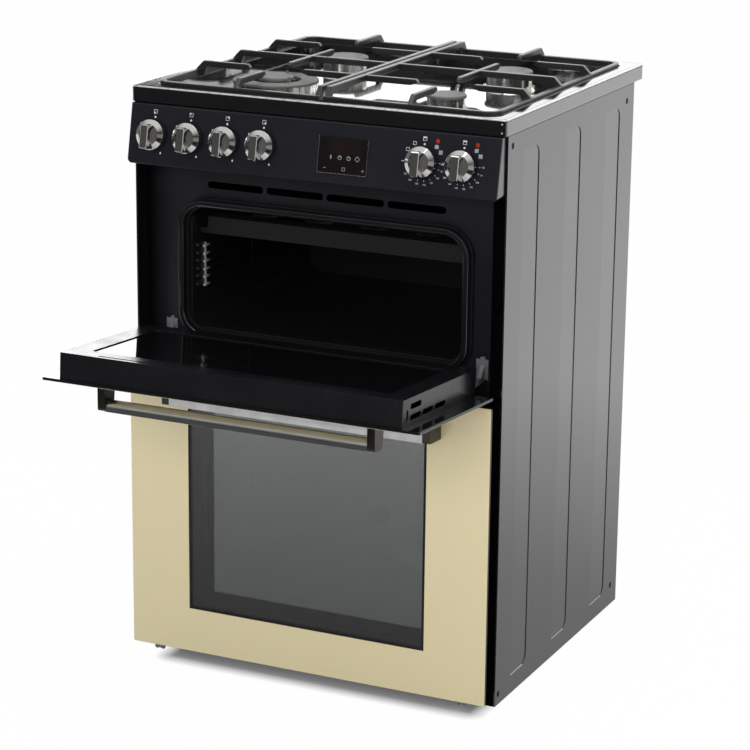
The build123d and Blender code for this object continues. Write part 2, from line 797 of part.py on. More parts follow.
def burner_cap(place, radius, level):
    with BuildPart() as cap:
        with BuildSketch(Plane.XY.offset(level)):
            with Locations(place):
                Circle(radius)
        extrude(amount=cap_thick)
        fillet(cap.faces().sort_by(Axis.Z)[-1].edges(), cap_thick * 0.55)
    return cap.part


burner_radii = {"rear_left": medium_radius, "front_right": small_radius, "rear_right": medium_radius}
for name, radius in burner_radii.items():
    keep(burner_crown(burner_places[name], radius), f"{name}_crown")
    keep(burner_cap(burner_places[name], radius + cap_lip, crown_top), f"{name}_cap")

# Wok burner: an outer ring and an inner crown joined by spokes
wok_place = burner_places["wok"]
wok_channel = 42.0
wok_inner = 25.0
wok_rise = 4.0
wok_ports = 36
wok_port_height = 5.5
wok_wall = wok_radius - 3.0
ring_cap_thick = 4.0
with BuildPart() as wok_crown:
    with BuildSketch(Plane.XY.offset(well_floor)):
        with Locations(wok_place):
            Circle(wok_radius + 3)
            Circle(wok_channel - 4, mode=Mode.SUBTRACT)
    extrude(amount=5, taper=20)
    with BuildSketch(Plane.XY.offset(well_floor)):
        with Locations(wok_place):
            Circle(wok_wall)
            Circle(wok_channel, mode=Mode.SUBTRACT)
    extrude(amount=crown_height)
    with BuildSketch(Plane.XY.offset(well_floor)):
        with Locations(wok_place):
            Circle(wok_inner)
    extrude(amount=crown_height + wok_rise)
    with BuildSketch(Plane.XY.offset(well_floor)):
        with Locations(wok_place):
            with PolarLocations((wok_inner + wok_channel) / 2, 3, start_angle=30):
                Rectangle(wok_channel - wok_inner + 4, 14)
    extrude(amount=crown_height * 0.6)
    with BuildSketch(Plane.XY.offset(crown_top - wok_port_height)):
        with Locations(wok_place):
            with PolarLocations(wok_wall, wok_ports):
                Rectangle(7, 1.8)
    extrude(amount=wok_port_height, mode=Mode.SUBTRACT)
keep(wok_crown.part, "wok_crown")

with BuildPart() as wok_ring_cap:
    with BuildSketch(Plane.XY.offset(crown_top)):
        with Locations(wok_place):
            Circle(wok_wall + cap_lip / 2)
            Circle(wok_channel - 4, mode=Mode.SUBTRACT)
    extrude(amount=ring_cap_thick)
    fillet(wok_ring_cap.faces().sort_by(Axis.Z)[-1].edges(), 1.6)
    with BuildSketch(Plane.XY.offset(crown_top)):
        with Locations(wok_place):
            with PolarLocations(wok_channel - 5, 3, start_angle=90):
                Rectangle(8, 4)
    extrude(amount=ring_cap_thick + 7, taper=8)
keep(wok_ring_cap.part, "wok_ring_cap")
keep(burner_cap(wok_place, wok_inner + cap_lip, crown_top + wok_rise), "wok_cap")

# Spark electrodes: a ceramic stem and a bent tip beside each burner
electrode_radius = 2.4
electrode_places = []
for name, place in burner_places.items():
    reach = burner_radii.get(name, wok_radius) + 9.5
    electrode_places.append((place[0] + reach * cos(radians(-20)), place[1] + reach * sin(radians(-20))))
with BuildPart() as spark_electrodes:
    with BuildSketch(Plane.XY.offset(well_floor)):
        with Locations(*electrode_places):
            Circle(electrode_radius)
    extrude(amount=crown_height * 0.7)
    with BuildSketch(Plane.XY.offset(well_floor)):
        with Locations(*electrode_places):
            Circle(electrode_radius * 0.4)
    extrude(amount=crown_height * 0.9)
keep(spark_electrodes.part, "spark_electrodes")


# Pan supports: a low cast frame on the ledge, raised fingers and a raised bar at the centre line
def pan_support(side):
    inner = support_gap / 2
    outer = support_outer
    low = support_base
    frame_level = low + support_tall
    top = support_top
    under = top - support_tall
    rise = top - frame_level
    bar = support_bar
    slim = bar * 0.85
    tip_drop = top - 5
    middle = (front_burner_y + rear_burner_y) / 2
    long = support_rear - support_front
    outer_foot = [(outer, low), (outer, frame_level), (outer - rise, top)]
    outer_heel = [(outer - rise - 5, under), (outer - bar - 5, low)]
    outer_tip = burner_x + tip_reach + 3
    inner_tip = burner_x - tip_reach - 5
    cross_front = front_burner_y + tip_reach
    cross_rear = rear_burner_y - tip_reach

    outer_finger = outer_foot + [(outer_tip, top), (outer_tip - 4, tip_drop), (outer_tip + 8, under)] + outer_heel
    inner_finger = [
        (inner, under),
        (inner, top),
        (inner_tip, top),
        (inner_tip + 4, tip_drop),
        (inner_tip - 8, under),
    ]
    long_finger = outer_foot + [(inner, top), (inner, under)] + outer_heel
    across_bars = [(long_finger, middle, bar)]
    for row in (front_burner_y, rear_burner_y):
        across_bars.append((outer_finger, row, slim))
        across_bars.append((inner_finger, row, slim))

    cross_bar = [
        (cross_front + 10, under),
        (cross_front, tip_drop),
        (cross_front + 4, top),
        (cross_rear - 4, top),
        (cross_rear, tip_drop),
        (cross_rear - 10, under),
    ]
    centre_bar = [
        (support_front, low),
        (support_front, low + 3),
        (support_front + rise, top),
        (support_rear - rise, top),
        (support_rear, low + 3),
        (support_rear, low),
        (support_rear - bar - 2, low),
        (support_rear - rise - 7, under),
        (support_front + rise + 7, under),
        (support_front + bar + 2, low),
    ]
    along_bars = [(cross_bar, burner_x, slim), (centre_bar, inner + bar / 2, bar)]
    for inward, end, row in ((1, support_front, front_burner_y), (-1, support_rear, rear_burner_y)):
        tip = row - inward * tip_reach
        end_finger = [
            (end, low),
            (end, frame_level),
            (end + inward * rise, top),
            (tip, top),
            (tip + inward * 4, tip_drop),
            (tip - inward * 8, under),
            (end + inward * (rise + 5), under),
            (end + inward * (bar + 5), low),
        ]
        along_bars.append((end_finger, burner_x, slim))

    with BuildPart() as support:
        with BuildSketch(Plane.XY.offset(low)):
            with Locations((side * (inner + outer) / 2, (support_front + support_rear) / 2)):
                RectangleRounded(outer - inner, long, well_corner - 2)
                RectangleRounded(outer - inner - 2 * bar, long - 2 * bar, well_corner - 2 - bar, mode=Mode.SUBTRACT)
            with Locations((side * inner, (support_front + support_rear) / 2)):
                Rectangle(2 * well_corner, long, mode=Mode.SUBTRACT)
            for end in (support_front + bar / 2, support_rear - bar / 2):
                with Locations((side * (inner + well_corner / 2), end)):
                    Rectangle(well_corner, bar)
        extrude(amount=support_tall)
        for points, level, width in across_bars:
            with BuildSketch(Plane.XZ.offset(-(level + width / 2))):
                with BuildLine():
                    Polyline(*[(side * across, height) for across, height in points], close=True)
                make_face()
            extrude(amount=width)
        for points, across, width in along_bars:
            with BuildSketch(Plane.YZ.offset(side * across - width / 2)):
                with BuildLine():
                    Polyline(*points, close=True)
                make_face()
            extrude(amount=width)
    return support.part


keep(pan_support(-1), "pan_support_left")
keep(pan_support(1), "pan_support_right")

# Hinge arms on the cabinet: one at each side of each door, with a plate against the front frame
arm_nose = 5.2
arm_low = -3.0
arm_high = 5.0
arm_inside = frame_back + 28.0
plate_thick = 2.0
with BuildPart() as hinge_arms:
    for pivot in (lower_pivot_z, upper_pivot_z):
        for side in (-1, 1):
            with BuildSketch(Plane.YZ.offset(side * hinge_x - arm_thick / 2)):
                with Locations((pivot_y, pivot)):
                    Circle(arm_nose)
                with BuildLine():
                    Polyline(
                        (pivot_y, pivot + arm_low),
                        (pivot_y, pivot + arm_high),
                        (tray_back_y + 4, pivot + arm_high),
                        (frame_front - plate_thick, pivot + 22),
                        (frame_front, pivot + 34),
                        (arm_inside, pivot + 34),
                        (arm_inside, pivot + arm_low),
                        close=True,
                    )
                make_face()
                with Locations((pivot_y, pivot)):
                    Circle(pin_radius + running_fit, mode=Mode.SUBTRACT)
            extrude(amount=arm_thick)
            with BuildSketch(Plane.XZ.offset(-frame_front)):
                with Locations((side * hinge_x, pivot + 16)):
                    Rectangle(arm_thick + 12, 30)
            extrude(amount=plate_thick)
keep(hinge_arms.part, "hinge_arms")


# Doors, each on its own plane: local X across, local Y up the door from the hinge pin, local Z outward
def door_outer_glass(plane, height):
    with BuildPart() as panel:
        with BuildSketch(plane.offset(pivot_back - glass)):
            with Locations((0, pivot_drop + height / 2)):
                RectangleRounded(2 * door_half, height, 3)
        extrude(amount=glass)
        chamfer(panel.faces().sort_by(Axis(plane.origin, plane.z_dir))[-1].edges(), glass_chamfer)
    return panel.part


tray_low = pivot_drop + 1.4
tray_front = pivot_back - glass
tray_back = tray_front - tray_depth


def door_tray(plane, height):
    top = pivot_drop + height - tray_setback
    tall = top - tray_low
    middle = (top + tray_low) / 2
    slot_length = 36.0
    slot_pitch = 41.0
    slot_height = 8.0
    slot_first = top - 44.0
    with BuildPart() as tray:
        with BuildSketch(plane.offset(tray_back)):
            with Locations((0, middle)):
                Rectangle(2 * tray_half, tall)
        extrude(amount=tray_depth)
        fillet(tray.edges().filter_by(Axis(plane.origin, plane.z_dir)), 2)
        with BuildSketch(plane.offset(tray_back + tray_sheet)):
            with Locations((0, middle)):
                Rectangle(2 * (tray_half - tray_sheet), tall - 2 * tray_sheet)
        extrude(amount=tray_depth, mode=Mode.SUBTRACT)
        with BuildSketch(plane.offset(tray_back)):
            with Locations((0, middle)):
                RectangleRounded(2 * (tray_half - tray_border), tall - 2 * tray_border, 6)
            with Locations((0, top - 9)):
                with GridLocations(2 * tray_half / 5, 0, 4, 1):
                    SlotOverall(2 * tray_half / 5 - 8, 4)
        extrude(amount=tray_sheet, mode=Mode.SUBTRACT)
        with BuildSketch(Plane(origin=plane.origin, x_dir=plane.y_dir, z_dir=plane.x_dir).offset(-tray_half)):
            with Locations((slot_first - slot_pitch, tray_front - tray_depth * 0.27)):
                with GridLocations(slot_pitch, 0, 3, 1):
                    SlotOverall(slot_length, slot_height)
            with Locations((slot_first, tray_front - tray_depth * 0.67)):
                SlotOverall(slot_length, slot_height)
            with Locations((top - 2 * slot_height, tray_front - tray_depth * 0.4)):
                SlotOverall(2 * slot_height, slot_height * 0.7, rotation=90)
        extrude(amount=2 * tray_half, mode=Mode.SUBTRACT)
        for side in (-1, 1):
            with BuildSketch(plane.offset(-8)):
                with Locations((side * hinge_x, tray_low)):
                    Rectangle(arm_thick + 8, 4 * tray_sheet)
            extrude(amount=8 + tray_front, mode=Mode.SUBTRACT)
    return tray.part


def door_inner_glass(plane, height):
    top = pivot_drop + height - tray_setback
    with BuildPart() as panel:
        with BuildSketch(plane.offset(tray_back + tray_sheet)):
            with Locations((0, (top + tray_low) / 2)):
                Rectangle(2 * (tray_half - tray_border + 9), top - tray_low - 2 * tray_border + 18)
        extrude(amount=4)
    return panel.part


# Hinge cheeks: two forks that carry the pins and reach up inside the tray
def door_hinges(plane):
    cheek = 2.5
    fork = arm_thick + 1.0
    across = fork + 2 * cheek
    web_low = tray_low + 2.4
    web_high = 46.0
    side_plane = Plane(origin=plane.origin, x_dir=plane.y_dir, z_dir=plane.x_dir)
    with BuildPart() as hinges:
        for side in (-1, 1):
            start = side * hinge_x - across / 2
            with BuildSketch(side_plane.offset(start)):
                Circle(6)
                with Locations((web_high / 2, 0)):
                    Rectangle(web_high, 12)
            extrude(amount=across)
            with BuildSketch(side_plane.offset(start)):
                with Locations(((web_low + web_high) / 2, (tray_back + tray_sheet) / 2)):
                    Rectangle(web_high - web_low, -(tray_back + tray_sheet))
            extrude(amount=across)
            with BuildSketch(side_plane.offset(side * hinge_x - fork / 2)):
                with Locations((-web_low, 0)):
                    Rectangle(4 * web_low, 14)
            extrude(amount=fork, mode=Mode.SUBTRACT)
            with BuildSketch(side_plane.offset(start)):
                Circle(pin_radius)
            extrude(amount=across)
    return hinges.part


# Handle bar: flat outside and rounded towards the door
def door_handle_bar(plane, height):
    level = pivot_drop + height - handle_drop
    face = pivot_back + handle_stand
    reach = handle_half - bracket_thick
    side_plane = Plane(origin=plane.origin, x_dir=plane.y_dir, z_dir=plane.x_dir)
    with BuildPart() as bar:
        with BuildSketch(side_plane.offset(-reach)):
            with Locations((level, face)):
                Ellipse(bar_height / 2, bar_thick)
            with Locations((level, face - bar_thick / 2)):
                Rectangle(bar_height, bar_thick, mode=Mode.INTERSECT)
        extrude(amount=2 * reach)
    return bar.part


def door_handle_brackets(plane, height):
    level = pivot_drop + height - handle_drop
    side_plane = Plane(origin=plane.origin, x_dir=plane.y_dir, z_dir=plane.x_dir)
    foot = 15.0
    with BuildPart() as brackets:
        for side in (-1, 1):
            with BuildSketch(side_plane.offset(side * (handle_half - bracket_thick / 2) - bracket_thick / 2)) as outline:
                with BuildLine():
                    Polyline(
                        (level - foot, pivot_back),
                        (level + foot, pivot_back),
                        (level + bar_height / 2, pivot_back + handle_stand),
                        (level - bar_height / 2, pivot_back + handle_stand),
                        close=True,
                    )
                make_face()
                fillet(outline.vertices().sort_by(Axis.Y)[-2:], 4)
            extrude(amount=bracket_thick)
    return brackets.part


doors = {
    "upper_door": (door_plane(upper_pivot_z, upper_open_angle), upper_door_height),
    "lower_door": (door_plane(lower_pivot_z, 0.0), lower_door_height),
}
for door, (plane, height) in doors.items():
    keep(door_outer_glass(plane, height), f"{door}_outer_glass")
    keep(door_tray(plane, height), f"{door}_tray")
    keep(door_inner_glass(plane, height), f"{door}_inner_glass")
    keep(door_hinges(plane), f"{door}_hinges")
    keep(door_handle_bar(plane, height), f"{door}_handle_bar")
    keep(door_handle_brackets(plane, height), f"{door}_handle_brackets")
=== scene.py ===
import json
from math import cos, pi, radians, sin, tan

import bmesh
import bpy
from mathutils import Matrix, Vector


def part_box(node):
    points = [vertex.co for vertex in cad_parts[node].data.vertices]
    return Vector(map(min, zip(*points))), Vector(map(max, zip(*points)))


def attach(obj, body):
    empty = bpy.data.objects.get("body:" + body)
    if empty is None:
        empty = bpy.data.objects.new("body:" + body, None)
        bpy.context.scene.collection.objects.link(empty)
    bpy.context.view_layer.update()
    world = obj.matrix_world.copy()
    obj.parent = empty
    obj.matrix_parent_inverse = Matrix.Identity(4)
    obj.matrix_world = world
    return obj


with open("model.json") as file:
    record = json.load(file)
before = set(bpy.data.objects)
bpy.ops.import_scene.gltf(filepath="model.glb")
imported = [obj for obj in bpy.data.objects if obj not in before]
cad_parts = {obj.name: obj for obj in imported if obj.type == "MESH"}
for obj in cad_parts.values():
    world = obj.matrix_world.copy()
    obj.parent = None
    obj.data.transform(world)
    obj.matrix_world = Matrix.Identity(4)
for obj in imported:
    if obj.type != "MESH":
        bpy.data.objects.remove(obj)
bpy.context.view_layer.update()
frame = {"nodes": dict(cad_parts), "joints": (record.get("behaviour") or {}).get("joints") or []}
nodes = frame["nodes"]
joints = {joint["name"]: joint for joint in frame["joints"]}
print("frame loaded:", len(nodes), "pieces")


def corners(box):
    return [Vector(corner) for corner in box]


def reach(points):
    low = Vector([min(point[axis] for point in points) for axis in range(3)])
    high = Vector([max(point[axis] for point in points) for axis in range(3)])
    return low, high


# A socket that can be used in sums: each operator adds one Math node
class Wire:
    def __init__(self, kit, socket):
        self.kit = kit
        self.socket = socket

    def maths(self, operation, left, right=0.0):
        return self.kit.add("ShaderNodeMath", {"operation": operation}, {0: left, 1: right})

    def __add__(self, other):
        return self.maths("ADD", self, other)

    def __sub__(self, other):
        return self.maths("SUBTRACT", self, other)

    def __rsub__(self, other):
        return self.maths("SUBTRACT", other, self)

    def __mul__(self, other):
        return self.maths("MULTIPLY", self, other)

    def __gt__(self, other):
        return self.maths("GREATER_THAN", self, other)

    def __lt__(self, other):
        return self.maths("LESS_THAN", self, other)

    def __abs__(self):
        return self.maths("ABSOLUTE", self)

    def root(self):
        return self.maths("SQRT", self)

    def positive(self):
        return self.maths("MAXIMUM", self)

    def towards(self, other, share):
        return self * (1.0 - share) + other * share


# One node tree and the nodes that go into it
class NodeKit:
    def __init__(self, tree):
        self.tree = tree

    def put(self, socket, value):
        if isinstance(value, Wire):
            self.tree.links.new(value.socket, socket)
        elif socket.type == "RGBA" and len(value) == 3:
            socket.default_value = (*value, 1.0)
        else:
            socket.default_value = value

    def add(self, kind, settings=None, sockets=None, out=0):
        node = self.tree.nodes.new(kind)
        for key, value in (settings or {}).items():
            setattr(node, key, value)
        for key, value in (sockets or {}).items():
            self.put(node.inputs[key], value)
        return Wire(self, node.outputs[out])

    def place(self, location=(0, 0, 0), rotation=(0, 0, 0), scale=(1, 1, 1)):
        spot = self.add("ShaderNodeTexCoord", out="Object")
        values = {"Vector": spot, "Location": location, "Rotation": rotation, "Scale": scale}
        return self.add("ShaderNodeMapping", {"vector_type": "POINT"}, values)

    def noise(self, scale, detail, rough=0.55, vector=None):
        values = {"Vector": vector or self.place(), "Scale": scale, "Detail": detail, "Roughness": rough}
        return self.add("ShaderNodeTexNoise", None, values)

    def cells(self, scale):
        return self.add("ShaderNodeTexVoronoi", None, {"Vector": self.place(), "Scale": scale}, "Distance")

    def split(self, vector):
        return [self.add("ShaderNodeSeparateXYZ", None, {0: vector}, axis) for axis in "XYZ"]

    def blend(self, share, first, second):
        values = {"Factor": share, 6: first, 7: second}
        return self.add("ShaderNodeMix", {"data_type": "RGBA"}, values, out=2)

    def between(self, value, low, high, first=0.0, last=1.0):
        values = {"Value": value, "From Min": low, "From Max": high, "To Min": first, "To Max": last}
        return self.add("ShaderNodeMapRange", {"clamp": True}, values)

    def ray(self, kind):
        return self.add("ShaderNodeLightPath", out=f"Is {kind} Ray")


# One material with a Principled shader
class Finish(NodeKit):
    edgeSamples = 4

    def __init__(self, name, **constants):
        self.material = bpy.data.materials.new(name)
        self.material.use_nodes = True
        super().__init__(self.material.node_tree)
        self.shader = self.tree.nodes["Principled BSDF"]
        self.wear(**constants)

    def wear(self, **sockets):
        for socket, value in sockets.items():
            self.put(self.shader.inputs[socket.replace("_", " ")], value)

    def bump(self, height, strength, depth, edge=0.0):
        values = {"Height": height, "Strength": strength, "Distance": depth}
        if edge:
            values["Normal"] = self.add("ShaderNodeBevel", {"samples": self.edgeSamples}, {"Radius": edge})
        self.wear(Normal=self.add("ShaderNodeBump", None, values))

    # A second Principled shader that takes over where share is 1
    def cover(self, share, sockets):
        first = Wire(self, self.shader.outputs[0])
        second = self.add("ShaderNodeBsdfPrincipled", None, sockets)
        mixed = self.add("ShaderNodeMixShader", None, {"Fac": share, 1: first, 2: second})
        self.put(self.tree.nodes["Material Output"].inputs["Surface"], mixed)


# Finishes. In their dictionaries a noise is (scale, detail, rough), gloss is (noise from, noise to,
# roughness from, roughness to) and relief is (strength, depth, edge radius)

# Vitreous enamel of the hob: a dark ground under a clear glaze, thin on the rim, with orange peel and dust
# The pale line along its top edges is a painted highlight
glazeSpec = {
    "rim": 0.0235,
    "rimGlaze": 0.2,
    "sideGlaze": 0.9,
    "edge": 0.0024,
    "edgeHighlightTint": (0.33, 0.33, 0.325),
    "edgeHighlightSpan": (0.3, 0.5),
    "ground": (0.004, 0.004, 0.0045),
    "groundPale": (0.008, 0.008, 0.0085),
    "cloud": (9.0, 4.0),
    "dust": (160.0, 6.0, 0.7),
    "dustShare": 0.4,
    "gloss": (0.3, 0.7, 0.05, 0.09),
    "peel": (420.0, 2.0),
    "relief": (0.05, 0.0004, 0.003),
}


def hobGlaze(name, low, high):
    spec = glazeSpec
    finish = Finish(name, IOR=1.5, Coat_IOR=2.15, Coat_Roughness=0.03)
    across, back, up = finish.split(finish.place())
    side = abs(across)
    rim = spec["rim"]
    inside = (side < high.x - rim) * (back > low.y + rim) * (back < high.y - rim)
    edge = spec["edge"]
    flat = (side < high.x - edge) * (back > low.y + edge)
    lip = (up > high.z - edge) * (1.0 - flat)
    end = (side > high.x - edge / 2) * (1.0 - lip)
    cloud = finish.noise(*spec["cloud"])
    dust = finish.noise(*spec["dust"])
    ground = finish.blend(cloud, spec["ground"], spec["groundPale"])
    # Painted highlight: a pale line on the lip along the hob's top edges, broken up by the dust noise
    wearAndHighlight = lip * finish.between(dust, *spec["edgeHighlightSpan"])
    finish.wear(Base_Color=finish.blend(wearAndHighlight, ground, spec["edgeHighlightTint"]))
    finish.wear(Roughness=finish.between(cloud.towards(dust, spec["dustShare"]), *spec["gloss"]))
    glazed = inside + lip + end * spec["sideGlaze"]
    finish.wear(Coat_Weight=glazed * (1.0 - spec["rimGlaze"]) + spec["rimGlaze"])
    finish.bump(finish.noise(*spec["peel"]), *spec["relief"])
    return finish.material


# Side panels: glazed outside with their fixing screws, a painted highlight along the lower edge of each
# bay, painted shade in the seam under the hob, and dull on the folded edges and inside
panelSpec = {
    "outer": 0.2978,
    "seam": 0.8777,
    "glaze": 0.75,
    "ground": (0.006, 0.006, 0.0065),
    "groundPale": (0.009, 0.009, 0.0095),
    "cloud": (6.0, 4.0),
    "gloss": (0.3, 0.7, 0.2, 0.26),
    "dull": 0.85,
    "peel": (240.0, 2.0),
    "peelRise": 0.04,
    "relief": (0.25, 0.0004, 0.0012),
    "screws": ((-0.1173, 0.8622), (0.3434, 0.854), (-0.1222, 0.0396), (0.3468, 0.0565)),
    "screwEdge": (0.0046, 0.0052),
    "screwTint": (0.02, 0.02, 0.021),
    "screwDull": 0.4,
    "screwRise": 3.0,
    "slotHalf": 0.0009,
    "slotDrop": 2.0,
    "bays": (-0.0758, 0.0892, 0.2542),
    "bayLong": 0.048,
    "bayLow": 0.053,
    "bayEdge": 0.0009,
    "bayHighlightTint": (0.5, 0.5, 0.5),
}


def panelEnamel(name):
    spec = panelSpec
    finish = Finish(name, IOR=1.65, Coat_Roughness=0.1)
    cloud = finish.noise(*spec["cloud"])
    across, back, up = finish.split(finish.place())
    outside = abs(across) > spec["outer"]
    ground = finish.blend(cloud, spec["ground"], spec["groundPale"])
    height = finish.noise(*spec["peel"]) * spec["peelRise"]
    bare = 0.0
    for screwBack, screwUp in spec["screws"]:
        sideways = back - screwBack
        rise = up - screwUp
        distance = (sideways * sideways + rise * rise).root()
        head = finish.between(distance, *spec["screwEdge"], 1.0, 0.0)
        slot = (abs(sideways + rise) < spec["slotHalf"]) * head
        bare = head + bare
        height = height + head * spec["screwRise"] - slot * spec["slotDrop"]
        ground = finish.blend(head, ground, spec["screwTint"])
    # Painted highlight: a pale line along the lower edge of each bay
    lit = 0.0
    for bayFront in spec["bays"]:
        lit = (back > bayFront) * (back < bayFront + spec["bayLong"]) + lit
    lit = lit * (abs(up - spec["bayLow"]) < spec["bayEdge"]) * outside
    # Painted shade: above the seam under the hob the panel has no glaze and turns dark metal
    glazed = outside * (up < spec["seam"]) * (1.0 - bare)
    rough = finish.between(cloud, *spec["gloss"]) * outside + (1.0 - outside) * spec["dull"]
    finish.wear(Base_Color=finish.blend(lit, ground, spec["bayHighlightTint"]))
    finish.wear(Roughness=rough + bare * spec["screwDull"])
    finish.wear(Coat_Weight=glazed * spec["glaze"])
    finish.wear(Metallic=1.0 - glazed)
    finish.bump(height, *spec["relief"])
    return finish.material


# Satin coatings and other close-grained surfaces; a glazed end shines past that distance from the middle
satinSpec = {
    "grain": (1500.0, 2.0),
    "cloud": (14.0, 4.0),
    "cloudShare": 0.5,
    "pale": 1.5,
    "cloudSpan": (0.3, 0.7),
    "duller": 0.06,
    "glossier": 0.05,
    "relief": (0.12, 0.0002, 0.0009),
}
satinTones = {
    "fasciaSatin": {"tone": (0.0066, 0.0067, 0.0093), "gloss": 0.38, "sheen": 0.22, "glazedEnd": 0.2962},
    "frameSatin": {"tone": (0.0065, 0.0065, 0.0085), "gloss": 0.34, "sheen": 0.4},
    "trayEnamel": {"tone": (0.0045, 0.0045, 0.0055), "gloss": 0.22, "sheen": 0.4},
    "deflectorEnamel": {"tone": (0.008, 0.0078, 0.0085), "gloss": 0.3, "sheen": 0.45},
    "hingeSteel": {"tone": (0.085, 0.09, 0.098), "gloss": 0.24, "sheen": 0.9},
    "sealSilicone": {"tone": (0.0045, 0.0045, 0.0052), "gloss": 0.17, "sheen": 0.95},
}


def satinCoat(name, tone, gloss, sheen, glazedEnd=None):
    spec = satinSpec
    finish = Finish(name, Specular_IOR_Level=sheen, Coat_Roughness=0.15, Coat_IOR=1.8)
    grain = finish.noise(*spec["grain"])
    cloud = finish.noise(*spec["cloud"])
    if glazedEnd:
        across = finish.split(finish.place())[0]
        finish.wear(Coat_Weight=abs(across) > glazedEnd)
    pale = [spec["pale"] * part for part in tone]
    finish.wear(Base_Color=finish.blend(grain.towards(cloud, spec["cloudShare"]), tone, pale))
    glossy = gloss - spec["glossier"]
    dull = gloss + spec["duller"]
    finish.wear(Roughness=finish.between(cloud, *spec["cloudSpan"], glossy, dull))
    finish.bump(grain, *spec["relief"])
    return finish.material


# Speckled enamel inside the ovens
ovenSpec = {
    "ground": (0.008, 0.008, 0.009),
    "fleckTint": (0.06, 0.06, 0.065),
    "fleck": 520.0,
    "fleckSize": 0.16,
    "fleckShare": 0.35,
    "cloud": (7.0, 5.0),
    "gloss": (0.25, 0.75, 0.14, 0.3),
    "peel": (300.0, 2.0),
    "relief": (0.06, 0.0004, 0.001),
}


def ovenEnamel(name):
    spec = ovenSpec
    finish = Finish(name, Specular_IOR_Level=0.5)
    fleck = finish.between(finish.cells(spec["fleck"]), 0.0, spec["fleckSize"], 1.0, 0.0)
    cloud = finish.noise(*spec["cloud"])
    finish.wear(Base_Color=finish.blend(fleck * spec["fleckShare"], spec["ground"], spec["fleckTint"]))
    finish.wear(Roughness=finish.between(cloud, *spec["gloss"]))
    finish.bump(finish.noise(*spec["peel"]), *spec["relief"])
    return finish.material


# Zinc-coated sheet of the hidden panels, with its spangle
zincSpec = {
    "bright": (0.312, 0.312, 0.318),
    "dark": (0.204, 0.21, 0.216),
    "stain": (0.18, 0.177, 0.168),
    "stainShare": 0.5,
    "spangle": 90.0,
    "spangleSize": 0.8,
    "cloud": (30.0, 5.0),
    "gloss": (0.3, 0.7, 0.4, 0.55),
    "relief": (0.05, 0.0003, 0.0006),
}


def zincSheet(name):
    spec = zincSpec
    finish = Finish(name, Metallic=1.0)
    spangle = finish.between(finish.cells(spec["spangle"]), 0.0, spec["spangleSize"])
    cloud = finish.noise(*spec["cloud"])
    tint = finish.blend(spangle, spec["bright"], spec["dark"])
    finish.wear(Base_Color=finish.blend(cloud * spec["stainShare"], tint, spec["stain"]))
    finish.wear(Roughness=finish.between(cloud, *spec["gloss"]))
    finish.bump(cloud, *spec["relief"])
    return finish.material


# Enamelled cast iron of the pan supports, with the mould's sand and pits
castSpec = {
    "dark": (0.008, 0.008, 0.0086),
    "pale": (0.018, 0.018, 0.0188),
    "sand": (900.0, 3.0, 0.65),
    "sandShare": 0.5,
    "pit": 380.0,
    "pitShare": 0.3,
    "cloud": (25.0, 4.0),
    "gloss": (0.3, 0.7, 0.27, 0.4),
    "relief": (0.22, 0.0004, 0.003),
}


def castIron(name):
    spec = castSpec
    finish = Finish(name, Specular_IOR_Level=0.75)
    sand = finish.noise(*spec["sand"])
    cloud = finish.noise(*spec["cloud"])
    finish.wear(Base_Color=finish.blend(cloud, spec["dark"], spec["pale"]))
    finish.wear(Roughness=finish.between(cloud.towards(sand, spec["sandShare"]), *spec["gloss"]))
    finish.bump(sand.towards(finish.cells(spec["pit"]), spec["pitShare"]), *spec["relief"])
    return finish.material


# Turned alloy of the burner crowns: fine rings round each burner's own middle
alloySpec = {
    "bright": (0.92, 0.91, 0.89),
    "dull": (0.66, 0.64, 0.6),
    "stain": (60.0, 5.0, 0.6),
    "stainShare": 0.6,
    "ringScale": 320.0,
    "ringWobble": 0.6,
    "ringDetail": 2.0,
    "ringShare": 0.4,
    "gloss": (0.2, 0.8, 0.08, 0.22),
    "relief": (0.12, 0.0002, 0.0005),
}


def turnedAlloy(name, centre):
    spec = alloySpec
    finish = Finish(name, Metallic=1.0)
    spot = finish.place((-centre.x, -centre.y, 0))
    rings = finish.add(
        "ShaderNodeTexWave",
        {"wave_type": "RINGS", "rings_direction": "Z", "wave_profile": "SIN"},
        {
            "Vector": spot,
            "Scale": spec["ringScale"],
            "Distortion": spec["ringWobble"],
            "Detail": spec["ringDetail"],
        },
    )
    stain = finish.noise(*spec["stain"], spot)
    finish.wear(Base_Color=finish.blend(stain * spec["stainShare"], spec["bright"], spec["dull"]))
    finish.wear(Roughness=finish.between(stain.towards(rings, spec["ringShare"]), *spec["gloss"]))
    finish.bump(rings, *spec["relief"])
    return finish.material


# Gritty grey enamel of the burner caps
capSpec = {
    "dark": (0.098, 0.098, 0.093),
    "pale": (0.165, 0.164, 0.153),
    "gritTint": (0.061, 0.061, 0.058),
    "grit": (1300.0, 3.0, 0.7),
    "gritShare": 0.4,
    "cloud": (45.0, 5.0, 0.6),
    "gloss": (0.3, 0.7, 0.46, 0.62),
    "relief": (0.2, 0.0003, 0.0008),
}


def capEnamel(name):
    spec = capSpec
    finish = Finish(name, Specular_IOR_Level=0.35)
    grit = finish.noise(*spec["grit"])
    cloud = finish.noise(*spec["cloud"])
    tint = finish.blend(cloud, spec["dark"], spec["pale"])
    finish.wear(Base_Color=finish.blend(grit * spec["gritShare"], tint, spec["gritTint"]))
    finish.wear(Roughness=finish.between(cloud, *spec["gloss"]))
    finish.bump(grit, *spec["relief"])
    return finish.material


